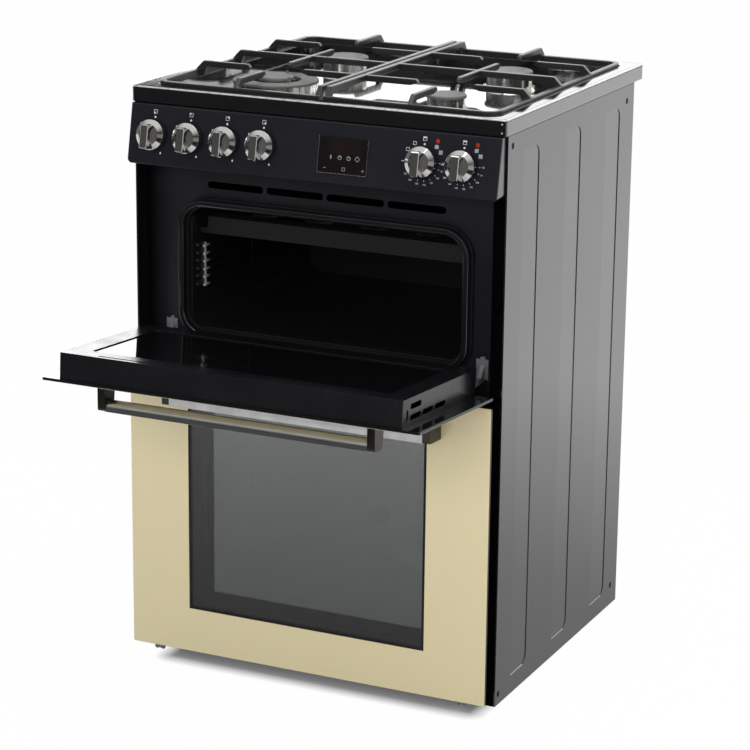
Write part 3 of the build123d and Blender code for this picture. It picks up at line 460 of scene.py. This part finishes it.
# Plated metal with hairlines and finger smears; streak stretches the hairlines along an axis
platedSpec = {
    "hairline": (260.0, 4.0, 0.6),
    "smear": (35.0, 4.0),
    "smearShare": 0.5,
    "smearSpan": (0.3, 0.7),
    "dull": 0.82,
    "glossier": 0.7,
    "duller": 1.4,
    "relief": (0.03, 0.0002, 0.0006),
}
platedTones = {
    "knobChrome": {"tone": (0.6, 0.59, 0.58), "gloss": 0.08},
    "barSilver": {"tone": (0.62, 0.62, 0.625), "gloss": 0.2, "streak": (0.02, 1, 1)},
    "bracketChrome": {"tone": (0.055, 0.053, 0.05), "gloss": 0.16},
    "footBlack": {"tone": (0.012, 0.012, 0.013), "gloss": 0.4},
    "rimMetal": {"tone": (0.5, 0.5, 0.52), "gloss": 0.25},
}


def platedMetal(name, tone, gloss, streak=(1, 1, 1)):
    spec = platedSpec
    finish = Finish(name, Metallic=1.0)
    hairline = finish.noise(*spec["hairline"], finish.place(scale=streak))
    smear = finish.noise(*spec["smear"])
    dull = [spec["dull"] * part for part in tone]
    wearAndHighlight = hairline.towards(smear, spec["smearShare"])
    finish.wear(Base_Color=finish.blend(smear, tone, dull))
    glossy = gloss * spec["glossier"]
    rough = gloss * spec["duller"]
    finish.wear(Roughness=finish.between(wearAndHighlight, *spec["smearSpan"], glossy, rough))
    finish.bump(hairline, *spec["relief"])
    return finish.material


# Moulded plastic, ceramic and printing ink
mouldSpec = {
    "grainDetail": 3.0,
    "grainSpan": (0.3, 0.7),
    "cloud": (30.0, 4.0),
    "pale": 1.3,
    "haze": 0.002,
    "glossSpan": 0.06,
    "relief": (0.1, 0.0002, 0.0005),
}
mouldTones = {
    "boxPlastic": {"tone": (0.006, 0.006, 0.0065), "gloss": 0.5},
    "ceramic": {"tone": (0.7, 0.68, 0.62), "gloss": 0.3},
    "timerLens": {"tone": (0.003, 0.002, 0.0025), "gloss": 0.12, "grainScale": 300.0},
    "neonLens": {"tone": (0.2, 0.014, 0.008), "gloss": 0.2, "grainScale": 300.0},
    "whitePrint": {"tone": (0.42, 0.425, 0.43), "gloss": 0.5},
    "greyPrint": {"tone": (0.15, 0.15, 0.157), "gloss": 0.4},
    "windowRed": {"tone": (0.0055, 0.003, 0.0027), "gloss": 0.12, "grainScale": 300.0},
}


def moulded(name, tone, gloss, grainScale=900.0):
    spec = mouldSpec
    finish = Finish(name, Specular_IOR_Level=0.4)
    grain = finish.noise(grainScale, spec["grainDetail"])
    pale = [spec["pale"] * part + spec["haze"] for part in tone]
    finish.wear(Base_Color=finish.blend(finish.noise(*spec["cloud"]), tone, pale))
    glossy = gloss - spec["glossSpan"]
    dull = gloss + spec["glossSpan"]
    finish.wear(Roughness=finish.between(grain, *spec["grainSpan"], glossy, dull))
    finish.bump(grain, *spec["relief"])
    return finish.material


# Metal that one stain colours, dulls and roughens: scaled heating elements and tarnished brass taps
stainTones = {
    "heater": {
        "clean": (0.1, 0.085, 0.075),
        "stained": (0.3, 0.26, 0.22),
        "stain": (120.0, 5.0, 0.65),
        "gloss": (0.3, 0.7, 0.4, 0.62),
        "relief": (0.2, 0.0003),
    },
    "tapBrass": {
        "clean": (0.66, 0.48, 0.2),
        "stained": (0.38, 0.26, 0.11),
        "stain": (80.0, 5.0, 0.6),
        "gloss": (0.3, 0.7, 0.2, 0.42),
        "relief": (0.08, 0.0003, 0.0005),
    },
}


def stainedMetal(name, clean, stained, stain, gloss, relief):
    finish = Finish(name, Metallic=1.0)
    patch = finish.noise(*stain)
    finish.wear(Base_Color=finish.blend(patch, clean, stained))
    finish.wear(Roughness=finish.between(patch, *gloss))
    finish.bump(patch, *relief)
    return finish.material


# Shelf runners: bright uprights at the mouth, wires darker further in as painted shade
rackSpec = {
    "bright": (0.32, 0.32, 0.325),
    "shadeTint": (0.007, 0.007, 0.0075),
    "upright": 0.006,
    "fade": 0.012,
    "wander": 0.004,
    "mottle": (90.0, 4.0),
    "gloss": (0.3, 0.7, 0.2, 0.31),
}


def rackWire(name, front):
    spec = rackSpec
    finish = Finish(name, Specular_IOR_Level=0.5)
    back = finish.split(finish.place())[1]
    mottle = finish.noise(*spec["mottle"])
    start = front + spec["upright"]
    # Painted shade: past the front upright the wires darken with depth into the oven
    inside = finish.between(back + mottle * spec["wander"], start, start + spec["fade"])
    finish.wear(Base_Color=finish.blend(inside, spec["bright"], spec["shadeTint"]))
    finish.wear(Roughness=finish.between(mottle, *spec["gloss"]))
    return finish.material


# Black inner glass of the open door, with grease smears
darkGlassSpec = {
    "dark": (0.002, 0.002, 0.0025),
    "pale": (0.004, 0.004, 0.0045),
    "smear": (11.0, 5.0, 0.6),
    "grease": (90.0, 5.0, 0.7),
    "greaseShare": 0.3,
    "gloss": (0.4, 0.75, 0.015, 0.07),
}


def darkGlass(name):
    spec = darkGlassSpec
    finish = Finish(name, Specular_IOR_Level=0.2)
    smear = finish.noise(*spec["smear"])
    grease = finish.noise(*spec["grease"])
    finish.wear(Base_Color=finish.blend(smear, spec["dark"], spec["pale"]))
    finish.wear(Roughness=finish.between(smear.towards(grease, spec["greaseShare"]), *spec["gloss"]))
    return finish.material


# Smoked inner pane of the lower door
paneSpec = {
    "tint": (0.22, 0.23, 0.225),
    "tintDark": (0.18, 0.19, 0.185),
    "smear": (14.0, 4.0),
    "gloss": (0.3, 0.7, 0.0, 0.02),
}


def smokedPane(name):
    spec = paneSpec
    finish = Finish(name, Transmission_Weight=1.0, IOR=2.05)
    smear = finish.noise(*spec["smear"])
    finish.wear(Base_Color=finish.blend(smear, spec["tint"], spec["tintDark"]))
    finish.wear(Roughness=finish.between(smear, *spec["gloss"]))
    return finish.material


# Door glass: cream paint on the outer face, black behind, and a clear window inside a dull black line.
# A window's margins are below and above it
doorSpec = {
    "cream": (0.53, 0.464, 0.293),
    "creamShade": (0.503, 0.439, 0.273),
    "black": (0.006, 0.006, 0.0065),
    "windowHalf": 0.197,
    "upperMargins": (0.05, 0.06),
    "lowerMargins": (0.07, 0.06),
    "lineWidth": 0.004,
    "lineDull": 0.85,
    "paintDepth": 0.0004,
    "shade": (4.0, 3.0),
    "smear": (60.0, 5.0, 0.65),
    "gloss": (0.35, 0.75, 0.02, 0.06),
    "clear": {"Base Color": (0.86, 0.89, 0.88), "Roughness": 0.0, "IOR": 1.45, "Transmission Weight": 1.0},
}


def doorGlass(name, low, high, face, place=()):
    spec = doorSpec
    finish = Finish(name, Specular_IOR_Level=0.5)
    across, depth, up = finish.split(finish.place(*place))
    side = abs(across)
    half = spec["windowHalf"]
    line = spec["lineWidth"]
    framed = (side < half) * (up > low) * (up < high)
    window = (side < half - line) * (up > low + line) * (up < high - line)
    paint = finish.blend(finish.noise(*spec["shade"]), spec["cream"], spec["creamShade"])
    paint = finish.blend(framed, paint, spec["black"])
    paint = finish.blend(depth > face + spec["paintDepth"], paint, spec["black"])
    smear = finish.between(finish.noise(*spec["smear"]), *spec["gloss"])
    finish.wear(Base_Color=paint)
    finish.wear(Roughness=smear + (framed - window) * spec["lineDull"])
    finish.cover(window, spec["clear"])
    return finish.material


# Lower door tray: black enamel towards the oven; towards the glass a grey field round the pane, with
# dark margins. The grey field is a painted reflection, seen through the window
maskSpec = {
    "half": 0.176,
    "margin": 0.011,
    "sheet": 0.0006,
    "grey": (0.2, 0.209, 0.206),
    "dark": (0.006, 0.0055, 0.0062),
    "enamel": (0.0045, 0.0045, 0.0055),
    "cloud": (14.0, 4.0),
    "gloss": (0.3, 0.7, 0.17, 0.28),
    "wallDull": 0.05,
}


def maskedTray(name, low, high, paneBox, ovenFace):
    spec = maskSpec
    finish = Finish(name, Specular_IOR_Level=0.4)
    paneLow, paneHigh = paneBox
    across, depth, up = finish.split(finish.place())
    side = abs(across)
    cloud = finish.noise(*spec["cloud"])
    wall = depth < ovenFace - spec["sheet"]
    reflectionField = (side < spec["half"]) * (up > low + spec["margin"]) * (up < high - spec["margin"])
    pane = (side < paneHigh.x) * (up > paneLow.z) * (up < paneHigh.z)
    # Painted reflection: the grey field stands in for the reflections in the window's panes
    mask = finish.blend(reflectionField * (1.0 - pane), spec["dark"], spec["grey"])
    finish.wear(Base_Color=finish.blend(wall, spec["enamel"], mask))
    finish.wear(Metallic=wall)
    finish.wear(Roughness=finish.between(cloud, *spec["gloss"]) * (1.0 - wall) + cloud * spec["wallDull"])
    return finish.material


# Places of the hob, the door glasses and their windows, from the frame
hobLow, hobHigh = corners(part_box("hob_top"))
upperHinge = joints["upper_door_hinge"]
upperPin = Vector(upperHinge["pos_m"])
upperShut = Matrix.Rotation(radians(upperHinge["range_deg"][0]), 3, "X")
upperVerts = nodes["upper_door_outer_glass"].data.vertices
upperLow, upperHigh = reach([upperShut @ (vert.co - upperPin) for vert in upperVerts])
lowerLow, lowerHigh = corners(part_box("lower_door_outer_glass"))


def windowSpan(low, high, margins):
    return low.z + margins[0], high.z - margins[1]


upperWindow = windowSpan(upperLow, upperHigh, doorSpec["upperMargins"])
lowerWindow = windowSpan(lowerLow, lowerHigh, doorSpec["lowerMargins"])
upperPlace = (upperShut @ -upperPin, upperShut.to_euler())
lowerPaneBox = corners(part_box("lower_door_inner_glass"))
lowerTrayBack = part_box("lower_door_tray")[1][1]

finishes = {
    "hobEnamel": hobGlaze("hobEnamel", hobLow, hobHigh),
    "sideEnamel": panelEnamel("sideEnamel"),
    "cavityEnamel": ovenEnamel("cavityEnamel"),
    "zincPlate": zincSheet("zincPlate"),
    "supportIron": castIron("supportIron"),
    "capGrey": capEnamel("capGrey"),
    "wireSatin": rackWire("wireSatin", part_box("shelf_runners")[0][1]),
    "innerGlass": darkGlass("innerGlass"),
    "lowerPane": smokedPane("lowerPane"),
    "upperGlass": doorGlass("upperGlass", *upperWindow, upperLow.y, upperPlace),
    "lowerGlass": doorGlass("lowerGlass", *lowerWindow, lowerLow.y),
    "lowerTray": maskedTray("lowerTray", *lowerWindow, lowerPaneBox, lowerTrayBack),
}
for makeFinish, tones in (
    (satinCoat, satinTones),
    (platedMetal, platedTones),
    (moulded, mouldTones),
    (stainedMetal, stainTones),
):
    for name, spec in tones.items():
        finishes[name] = makeFinish(name, **spec)

wornBy = {
    "sideEnamel": ["left_side_panel", "right_side_panel"],
    "zincPlate": ["rear_panel", "base_pan", "fan_motor", "fan_blade", "burner_cups"],
    "footBlack": ["levelling_feet"],
    "frameSatin": ["front_frame"],
    "sealSilicone": ["upper_oven_seal", "lower_oven_seal"],
    "cavityEnamel": ["upper_oven_cavity", "lower_oven_cavity", "fan_baffle"],
    "wireSatin": ["shelf_runners"],
    "heater": ["grill_element", "ring_element"],
    "deflectorEnamel": ["grill_deflector"],
    "boxPlastic": ["terminal_box"],
    "fasciaSatin": ["control_fascia"],
    "timerLens": ["timer_module"],
    "neonLens": ["neon_lamps"],
    "tapBrass": ["gas_rail"] + [f"gas_spindle_{number}" for number in range(1, 5)],
    "knobChrome": [f"gas_knob_{number}" for number in range(1, 5)] + ["oven_knob_1", "oven_knob_2"],
    "ceramic": ["oven_switches", "spark_electrodes"],
    "hobEnamel": ["hob_top"],
    "capGrey": ["wok_ring_cap", "wok_cap", "rear_left_cap", "front_right_cap", "rear_right_cap"],
    "supportIron": ["pan_support_left", "pan_support_right"],
    "hingeSteel": ["hinge_arms", "upper_door_hinges", "lower_door_hinges"],
    "barSilver": ["upper_door_handle_bar", "lower_door_handle_bar"],
    "bracketChrome": ["upper_door_handle_brackets", "lower_door_handle_brackets"],
    "upperGlass": ["upper_door_outer_glass"],
    "lowerGlass": ["lower_door_outer_glass"],
    "innerGlass": ["upper_door_inner_glass"],
    "lowerPane": ["lower_door_inner_glass"],
    "trayEnamel": ["upper_door_tray"],
    "lowerTray": ["lower_door_tray"],
}
for burner in ("wok", "rear_left", "front_right", "rear_right"):
    low, high = corners(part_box(f"{burner}_crown"))
    finishes[f"{burner}Alloy"] = turnedAlloy(f"{burner}Alloy", (low + high) / 2)
    wornBy[f"{burner}Alloy"] = [f"{burner}_crown"]
for finishName, pieces in wornBy.items():
    for name in pieces:
        mesh = nodes[name].data
        mesh.materials.clear()
        mesh.materials.append(finishes[finishName])
print("finishes set:", sum(len(pieces) for pieces in wornBy.values()))

# Printed marks: thin raised shapes on a flat face, x to the right and y up the face
printSpec = {
    "lift": 0.00008,
    "thick": 0.00016,
    "line": 0.00065,
    "dotSides": 20,
    "smallSides": 12,
    "textSteps": 2,
    "flameWidth": 0.36,
    "flameTaper": 1.9,
    "flameRise": 2.0,
}


def bar(bm, centre, size, turn=0.0):
    place = Matrix.Translation((*centre, printSpec["lift"])) @ Matrix.Rotation(turn, 4, "Z")
    bmesh.ops.create_cube(bm, size=1.0, matrix=place @ Matrix.Diagonal((*size, printSpec["thick"], 1)))


def disc(bm, centre, radius, sides=printSpec["dotSides"]):
    bmesh.ops.create_cone(
        bm,
        cap_ends=True,
        segments=sides,
        radius1=radius,
        radius2=radius,
        depth=printSpec["thick"],
        matrix=Matrix.Translation((*centre, printSpec["lift"])),
    )


def frameIcon(bm, centre, side, line):
    half = (side - line) / 2
    for sign in (-1, 1):
        bar(bm, (centre[0], centre[1] + sign * half), (side, line))
        bar(bm, (centre[0] + sign * half, centre[1]), (line, side - 2 * line))


def ring(bm, centre, radius, line, sides, start=0.0):
    for part in range(sides):
        turn = start + 2 * pi * part / sides
        spot = (centre[0] + radius * cos(turn), centre[1] + radius * sin(turn))
        bar(bm, spot, (line, 2 * radius * tan(pi / sides)), turn)


def flame(bm, centre, size):
    start = len(bm.verts)
    disc(bm, centre, size * printSpec["flameWidth"], printSpec["smallSides"])
    bm.verts.ensure_lookup_table()
    for vert in bm.verts[start:]:
        rise = vert.co.y - centre[1]
        if rise > 0:
            vert.co.x = centre[0] + (vert.co.x - centre[0]) * (1 - printSpec["flameTaper"] * rise / size)
            vert.co.y = centre[1] + rise * printSpec["flameRise"]


def digits(bm, text, centre, height):
    curve = bpy.data.curves.new("digits", "FONT")
    curve.body = text
    curve.size = height
    curve.align_x = "CENTER"
    curve.align_y = "CENTER"
    curve.extrude = printSpec["thick"] / 2
    curve.resolution_u = printSpec["textSteps"]
    holder = bpy.data.objects.new("digits", curve)
    mesh = bpy.data.meshes.new_from_object(holder)
    mesh.transform(Matrix.Translation((*centre, printSpec["lift"])))
    bm.from_mesh(mesh)
    bpy.data.objects.remove(holder)
    bpy.data.curves.remove(curve)
    bpy.data.meshes.remove(mesh)


def linkPiece(bm, name, finish):
    mesh = bpy.data.meshes.new(name)
    bm.to_mesh(mesh)
    bm.free()
    mesh.materials.append(finish)
    piece = bpy.data.objects.new(name, mesh)
    bpy.context.scene.collection.objects.link(piece)
    return piece


def finishPiece(bm, name, body, finish, matrix):
    bmesh.ops.transform(bm, matrix=matrix, verts=bm.verts)
    bmesh.ops.recalc_face_normals(bm, faces=bm.faces)
    piece = linkPiece(bm, name, finishes[finish])
    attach(piece, body)


# The fascia's face, from the axis that its knobs turn on
gasAxis = Vector(joints["gas_turn_1"]["axis"]).normalized()
gasCentre = Vector(joints["gas_turn_1"]["pos_m"])
slopeUp = gasAxis.cross(Vector((1, 0, 0))).normalized()
if slopeUp.z < 0:
    slopeUp.negate()
fasciaFrame = Matrix(
    (
        (1, slopeUp.x, gasAxis.x, 0),
        (0, slopeUp.y, gasAxis.y, gasCentre.y),
        (0, slopeUp.z, gasAxis.z, gasCentre.z),
        (0, 0, 0, 1),
    )
)

# Marks round the knobs: places are distances from the knob's middle, clocks are degrees from the top
dialSpec = {
    "dot": 0.0016,
    "icon": 0.006,
    "gasIcon": 0.0345,
    "gasDot": 0.0265,
    "burnerDot": 0.0012,
    "burnerShift": 0.0013,
    "burnerCorners": {1: (-1, -1), 2: (-1, 1), 3: (1, 1), 4: (1, -1)},
    "flames": ((-58, 0.0275, 0.0042), (-89, 0.0285, 0.0035), (153, 0.029, 0.0035)),
    "ovenIcon": 0.034,
    "ovenDot": 0.0262,
    "grillBar": (0.005, 0.0016),
    "grillRise": 0.0014,
    "square": 0.0052,
    "squareReach": 0.0305,
    "squareClocks": {1: (-56, -30, 38, 57), 2: (38, 57)},
    "cross": (0.0036, 0.0008),
    "crossLeans": (-45, 45),
    "tick": (0.0022, 0.0007),
    "tickReach": 0.0258,
    "labels": ("50", "75", "100", "125", "150", "175", "200", "225"),
    "labelReach": 0.0312,
    "labelHeight": 0.0034,
    "firstClock": 87,
    "clockStep": 21.2,
    "dash": (0.0046, 0.0009),
    "dashClock": 270,
}


def around(middle, clock, distance):
    return (middle + distance * sin(radians(clock)), distance * cos(radians(clock)))


def gasMarks(bm, middle, corner):
    spec = dialSpec
    frameIcon(bm, (middle, spec["gasIcon"]), spec["icon"], printSpec["line"])
    shift = [sign * spec["burnerShift"] for sign in corner]
    disc(bm, (middle + shift[0], spec["gasIcon"] + shift[1]), spec["burnerDot"], printSpec["smallSides"])
    disc(bm, (middle, spec["gasDot"]), spec["dot"])
    for clock, distance, size in spec["flames"]:
        flame(bm, around(middle, clock, distance), size)


def ovenMarks(bm, middle, clocks):
    spec = dialSpec
    disc(bm, (middle, spec["ovenDot"]), spec["dot"])
    frameIcon(bm, (middle, spec["ovenIcon"]), spec["icon"], printSpec["line"])
    bar(bm, (middle, spec["ovenIcon"] + spec["grillRise"]), spec["grillBar"])
    for clock in clocks:
        spot = around(middle, clock, spec["squareReach"])
        frameIcon(bm, spot, spec["square"], printSpec["line"])
        if clock > 0:
            for lean in spec["crossLeans"]:
                bar(bm, spot, spec["cross"], radians(lean))
    for step, label in enumerate(spec["labels"]):
        clock = spec["firstClock"] + step * spec["clockStep"]
        bar(bm, around(middle, clock, spec["tickReach"]), spec["tick"], pi / 2 - radians(clock))
        digits(bm, label, around(middle, clock, spec["labelReach"]), spec["labelHeight"])
    bar(bm, around(middle, spec["dashClock"], spec["labelReach"]), spec["dash"])


marks = bmesh.new()
for number, corner in dialSpec["burnerCorners"].items():
    gasMarks(marks, joints[f"gas_turn_{number}"]["pos_m"][0], corner)
for number, clocks in dialSpec["squareClocks"].items():
    ovenMarks(marks, joints[f"oven_turn_{number}"]["pos_m"][0], clocks)
finishPiece(marks, "fasciaMarks", "cabinet", "whitePrint", fasciaFrame)
print("fascia marks drawn")

# Timer face: a row of signs, touch marks, a deep red display window and a thin bright border
timerSpec = {
    "faceSlack": 0.0002,
    "dash": -0.0185,
    "dashSize": (0.0022, 0.0055),
    "pots": (-0.0045, 0.0096),
    "lock": 0.0233,
    "lockSides": 4,
    "ring": 0.0027,
    "ringLine": 0.001,
    "lid": (0.0034, 0.0018),
    "lidRise": 0.0016,
    "signLevel": -0.003,
    "minus": -0.0269,
    "square": 0.0028,
    "squareSide": 0.0052,
    "plus": 0.0333,
    "touchLevel": -0.019,
    "touchLong": 0.0042,
    "touchLine": 0.0007,
    "border": 0.0006,
    "window": (0.003, 0.0125),
    "windowSize": (0.051, 0.0224),
}
timerPoints = [fasciaFrame.inverted() @ vert.co for vert in nodes["timer_module"].data.vertices]
timerFace = reach(timerPoints)[1].z
timerFront = [point for point in timerPoints if point.z > timerFace - timerSpec["faceSlack"]]
timerLow, timerHigh = reach(timerFront)
timerCentre = (timerLow + timerHigh) / 2
timerFrame = fasciaFrame @ Matrix.Translation((timerCentre.x, timerCentre.y, timerFace))


def timerSigns(bm):
    spec = timerSpec
    level = spec["signLevel"]
    bar(bm, (spec["dash"], level), spec["dashSize"])
    for spot in spec["pots"]:
        ring(bm, (spot, level), spec["ring"], spec["ringLine"], printSpec["smallSides"])
        bar(bm, (spot, level + spec["lidRise"]), spec["lid"])
    ring(bm, (spec["lock"], level), spec["ring"], spec["ringLine"], spec["lockSides"], pi / 4)


def timerTouches(bm):
    spec = timerSpec
    level = spec["touchLevel"]
    size = (spec["touchLong"], spec["touchLine"])
    bar(bm, (spec["minus"], level), size)
    for turn in (0, pi / 2):
        bar(bm, (spec["plus"], level), size, turn)
    frameIcon(bm, (spec["square"], level), spec["squareSide"], spec["touchLine"])


face = bmesh.new()
timerSigns(face)
timerTouches(face)
finishPiece(face, "timerMarks", "cabinet", "greyPrint", timerFrame)
window = bmesh.new()
bar(window, timerSpec["window"], timerSpec["windowSize"])
finishPiece(window, "timerWindow", "cabinet", "windowRed", timerFrame)
border = bmesh.new()
halfWide = (timerHigh.x - timerLow.x - timerSpec["border"]) / 2
halfTall = (timerHigh.y - timerLow.y - timerSpec["border"]) / 2
bar(border, (0, -halfTall), (2 * halfWide, timerSpec["border"]))
for sign in (-1, 1):
    bar(border, (sign * halfWide, 0), (timerSpec["border"], 2 * halfTall))
finishPiece(border, "timerBorder", "cabinet", "rimMetal", timerFrame)
print("timer face drawn")

# Two painted highlights: small bright dots on the right end of the hob's front
glintSpec = {"inset": 0.0066, "levels": (0.8961, 0.8836), "radius": 0.0011}
hobFace = Matrix(((1, 0, 0, 0), (0, 0, -1, hobLow.y), (0, 1, 0, 0), (0, 0, 0, 1)))
glints = bmesh.new()
for level in glintSpec["levels"]:
    disc(glints, (hobHigh.x - glintSpec["inset"], level), glintSpec["radius"])
finishPiece(glints, "hobGlints", "cabinet", "whitePrint", hobFace)
print("hob fixings set")

# Camera at the photograph's viewing angle
cameraSpec = {
    "azimuth": 25.1616,
    "elevation": 15.85,
    "roll": 0.6419,
    "lens": 129.83,
    "sensor": 36.0,
    "clip": 60.0,
    "spot": (1.71338, -3.57164, 1.5853),
}
azimuth = radians(cameraSpec["azimuth"])
elevation = radians(cameraSpec["elevation"])
roll = radians(cameraSpec["roll"])
ahead = Vector((-sin(azimuth) * cos(elevation), cos(azimuth) * cos(elevation), -sin(elevation)))
level = Vector((cos(azimuth), sin(azimuth), 0))
upward = level.cross(ahead)
right = cos(roll) * level + sin(roll) * upward
top = cos(roll) * upward - sin(roll) * level
camera = bpy.data.cameras.new("camera")
camera.lens = cameraSpec["lens"]
camera.sensor_width = cameraSpec["sensor"]
camera.sensor_fit = "HORIZONTAL"
camera.clip_end = cameraSpec["clip"]
cameraObject = bpy.data.objects.new("camera", camera)
axes = Matrix((right, top, -ahead)).transposed().to_4x4()
cameraObject.matrix_world = Matrix.Translation(cameraSpec["spot"]) @ axes
bpy.context.scene.collection.objects.link(cameraObject)
bpy.context.scene.camera = cameraObject
print("camera set")

# Pale floor: white to the camera away from the cooker, real paper with its shadow close to it; in
# reflections it glows, with painted shade dimming it towards the cooker, and is dark far in front
floorSpec = {
    "size": 24.0,
    "pale": (0.87, 0.87, 0.87),
    "white": (0.9, 0.9, 0.9),
    "paper": (3.0, 2.0),
    "half": 0.252,
    "front": -0.12,
    "rear": 0.38,
    "fade": 0.03,
    "shown": (0.0, 0.985),
    "mirrorFade": 1.4,
    "mirrored": (0.4, 1.0),
    "dark": (-1.85, -1.6, 0.03, 1.0),
}


def stagePiece(name, size, matrix, finish):
    bm = bmesh.new()
    place = matrix @ Matrix.Diagonal((*size, 1, 1))
    bmesh.ops.create_grid(bm, x_segments=1, y_segments=1, size=0.5, matrix=place)
    piece = linkPiece(bm, name, finish)
    return piece


def floorPaper(name):
    spec = floorSpec
    finish = Finish(name, Roughness=0.9, Specular_IOR_Level=0.1)
    finish.wear(Base_Color=finish.blend(finish.noise(*spec["paper"]), spec["pale"], spec["white"]))
    across, back = finish.split(finish.place())[:2]
    aside = (abs(across) - spec["half"]).positive()
    middle = (spec["front"] + spec["rear"]) / 2
    beyond = (abs(back - middle) - (spec["rear"] - spec["front"]) / 2).positive()
    away = (aside * aside + beyond * beyond).root()
    share = finish.between(away, 0.0, spec["fade"], *spec["shown"])
    lit = finish.between(back, *spec["dark"])
    # Painted shade: the floor's glow in reflections dims towards the cooker
    mirrored = lit * finish.between(away, 0.0, spec["mirrorFade"], *spec["mirrored"])
    glossRay = finish.ray("Glossy")
    finish.cover(
        finish.ray("Camera") * share + glossRay,
        {
            "Base Color": (0, 0, 0),
            "Roughness": 1.0,
            "Specular IOR Level": 0.0,
            "Emission Color": finish.blend(glossRay, (1.0, 1.0, 1.0), mirrored),
            "Emission Strength": 1.0,
        },
    )
    return finish.material


stagePiece("floor", (floorSpec["size"], floorSpec["size"]), Matrix.Identity(4), floorPaper("floorPaper"))

# White cards behind the cooker, seen only in its reflections: a high one for the hob and a low one for
# the open door
cardSpecs = {
    "rightCard": {"size": (4.5, 1.5), "spot": (0.8, 2.6, 1.85), "glow": 1.3},
    "leftCard": {"size": (1.8, 0.8), "spot": (-2.35, 2.6, 1.0), "glow": 3.2},
}
for name, spec in cardSpecs.items():
    cardFinish = Finish(name, Emission_Color=(1, 1, 1), Emission_Strength=spec["glow"])
    cardPlace = Matrix.Translation(spec["spot"]) @ Matrix.Rotation(pi / 2, 4, "X")
    card = stagePiece(name, spec["size"], cardPlace, cardFinish.material)
    card.visible_camera = False
    card.visible_diffuse = False

# Studio: white to the camera, plain soft light for the finishes; in reflections it is bright above and at
# the sides, and dim towards the viewer
studioSpec = {
    "plain": 0.5,
    "dim": 0.03,
    "above": (0.4, 0.8, 0.0, 0.9),
    "left": (0.55, 0.95, 0.0, 0.2),
    "right": (0.6, 0.95, 0.0, 0.7),
    "facing": (-0.3, -0.6),
    "level": (0.35, 0.2),
    "viewer": (-0.3, 0.3, 0.07, 0.22),
}
world = bpy.data.worlds.new("studio")
world.use_nodes = True
bpy.context.scene.world = world
studio = NodeKit(world.node_tree)
skyX, skyY, skyZ = studio.split(studio.add("ShaderNodeTexCoord", out="Generated"))
above = studio.between(skyZ, *studioSpec["above"])
leftward = studio.between(skyX * -1.0, *studioSpec["left"])
rightward = studio.between(skyX, *studioSpec["right"])
facing = studio.between(skyY, *studioSpec["facing"]) * studio.between(abs(skyZ), *studioSpec["level"])
viewer = facing * studio.between(skyX, *studioSpec["viewer"])
mirrored = above + leftward + viewer + rightward + studioSpec["dim"]
surround = studio.blend(studio.ray("Glossy"), (studioSpec["plain"],) * 3, mirrored)
seenWhite = studio.ray("Camera") + studio.ray("Transmission")
backdrop = world.node_tree.nodes["Background"]
studio.put(backdrop.inputs["Color"], studio.blend(seenWhite, surround, (1.0, 1.0, 1.0)))

lampSpecs = {
    "overhead": {
        "spot": (0.2, 0.3, 3.0),
        "aim": (0, 0.1, 0.6),
        "size": (2.2, 1.8),
        "power": 45.0,
        "mirrored": True,
    },
    "front": {
        "spot": (0.2, -3.0, 1.5),
        "aim": (0, 0, 0.45),
        "size": (1.9, 1.4),
        "power": 60.0,
        "mirrored": False,
    },
    "right": {
        "spot": (2.9, -1.1, 1.8),
        "aim": (0, 0.0, 0.5),
        "size": (1.4, 1.6),
        "power": 13.0,
        "mirrored": False,
    },
}
for name, spec in lampSpecs.items():
    lamp = bpy.data.lights.new(name, "AREA")
    lamp.shape = "RECTANGLE"
    lamp.size, lamp.size_y = spec["size"]
    lamp.energy = spec["power"]
    lampObject = bpy.data.objects.new(name, lamp)
    aim = Vector(spec["aim"]) - Vector(spec["spot"])
    turn = aim.to_track_quat("-Z", "Y").to_matrix().to_4x4()
    lampObject.matrix_world = Matrix.Translation(spec["spot"]) @ turn
    lampObject.visible_camera = False
    lampObject.visible_glossy = spec["mirrored"]
    bpy.context.scene.collection.objects.link(lampObject)

bpy.context.scene.view_settings.view_transform = "Standard"
print("studio set")
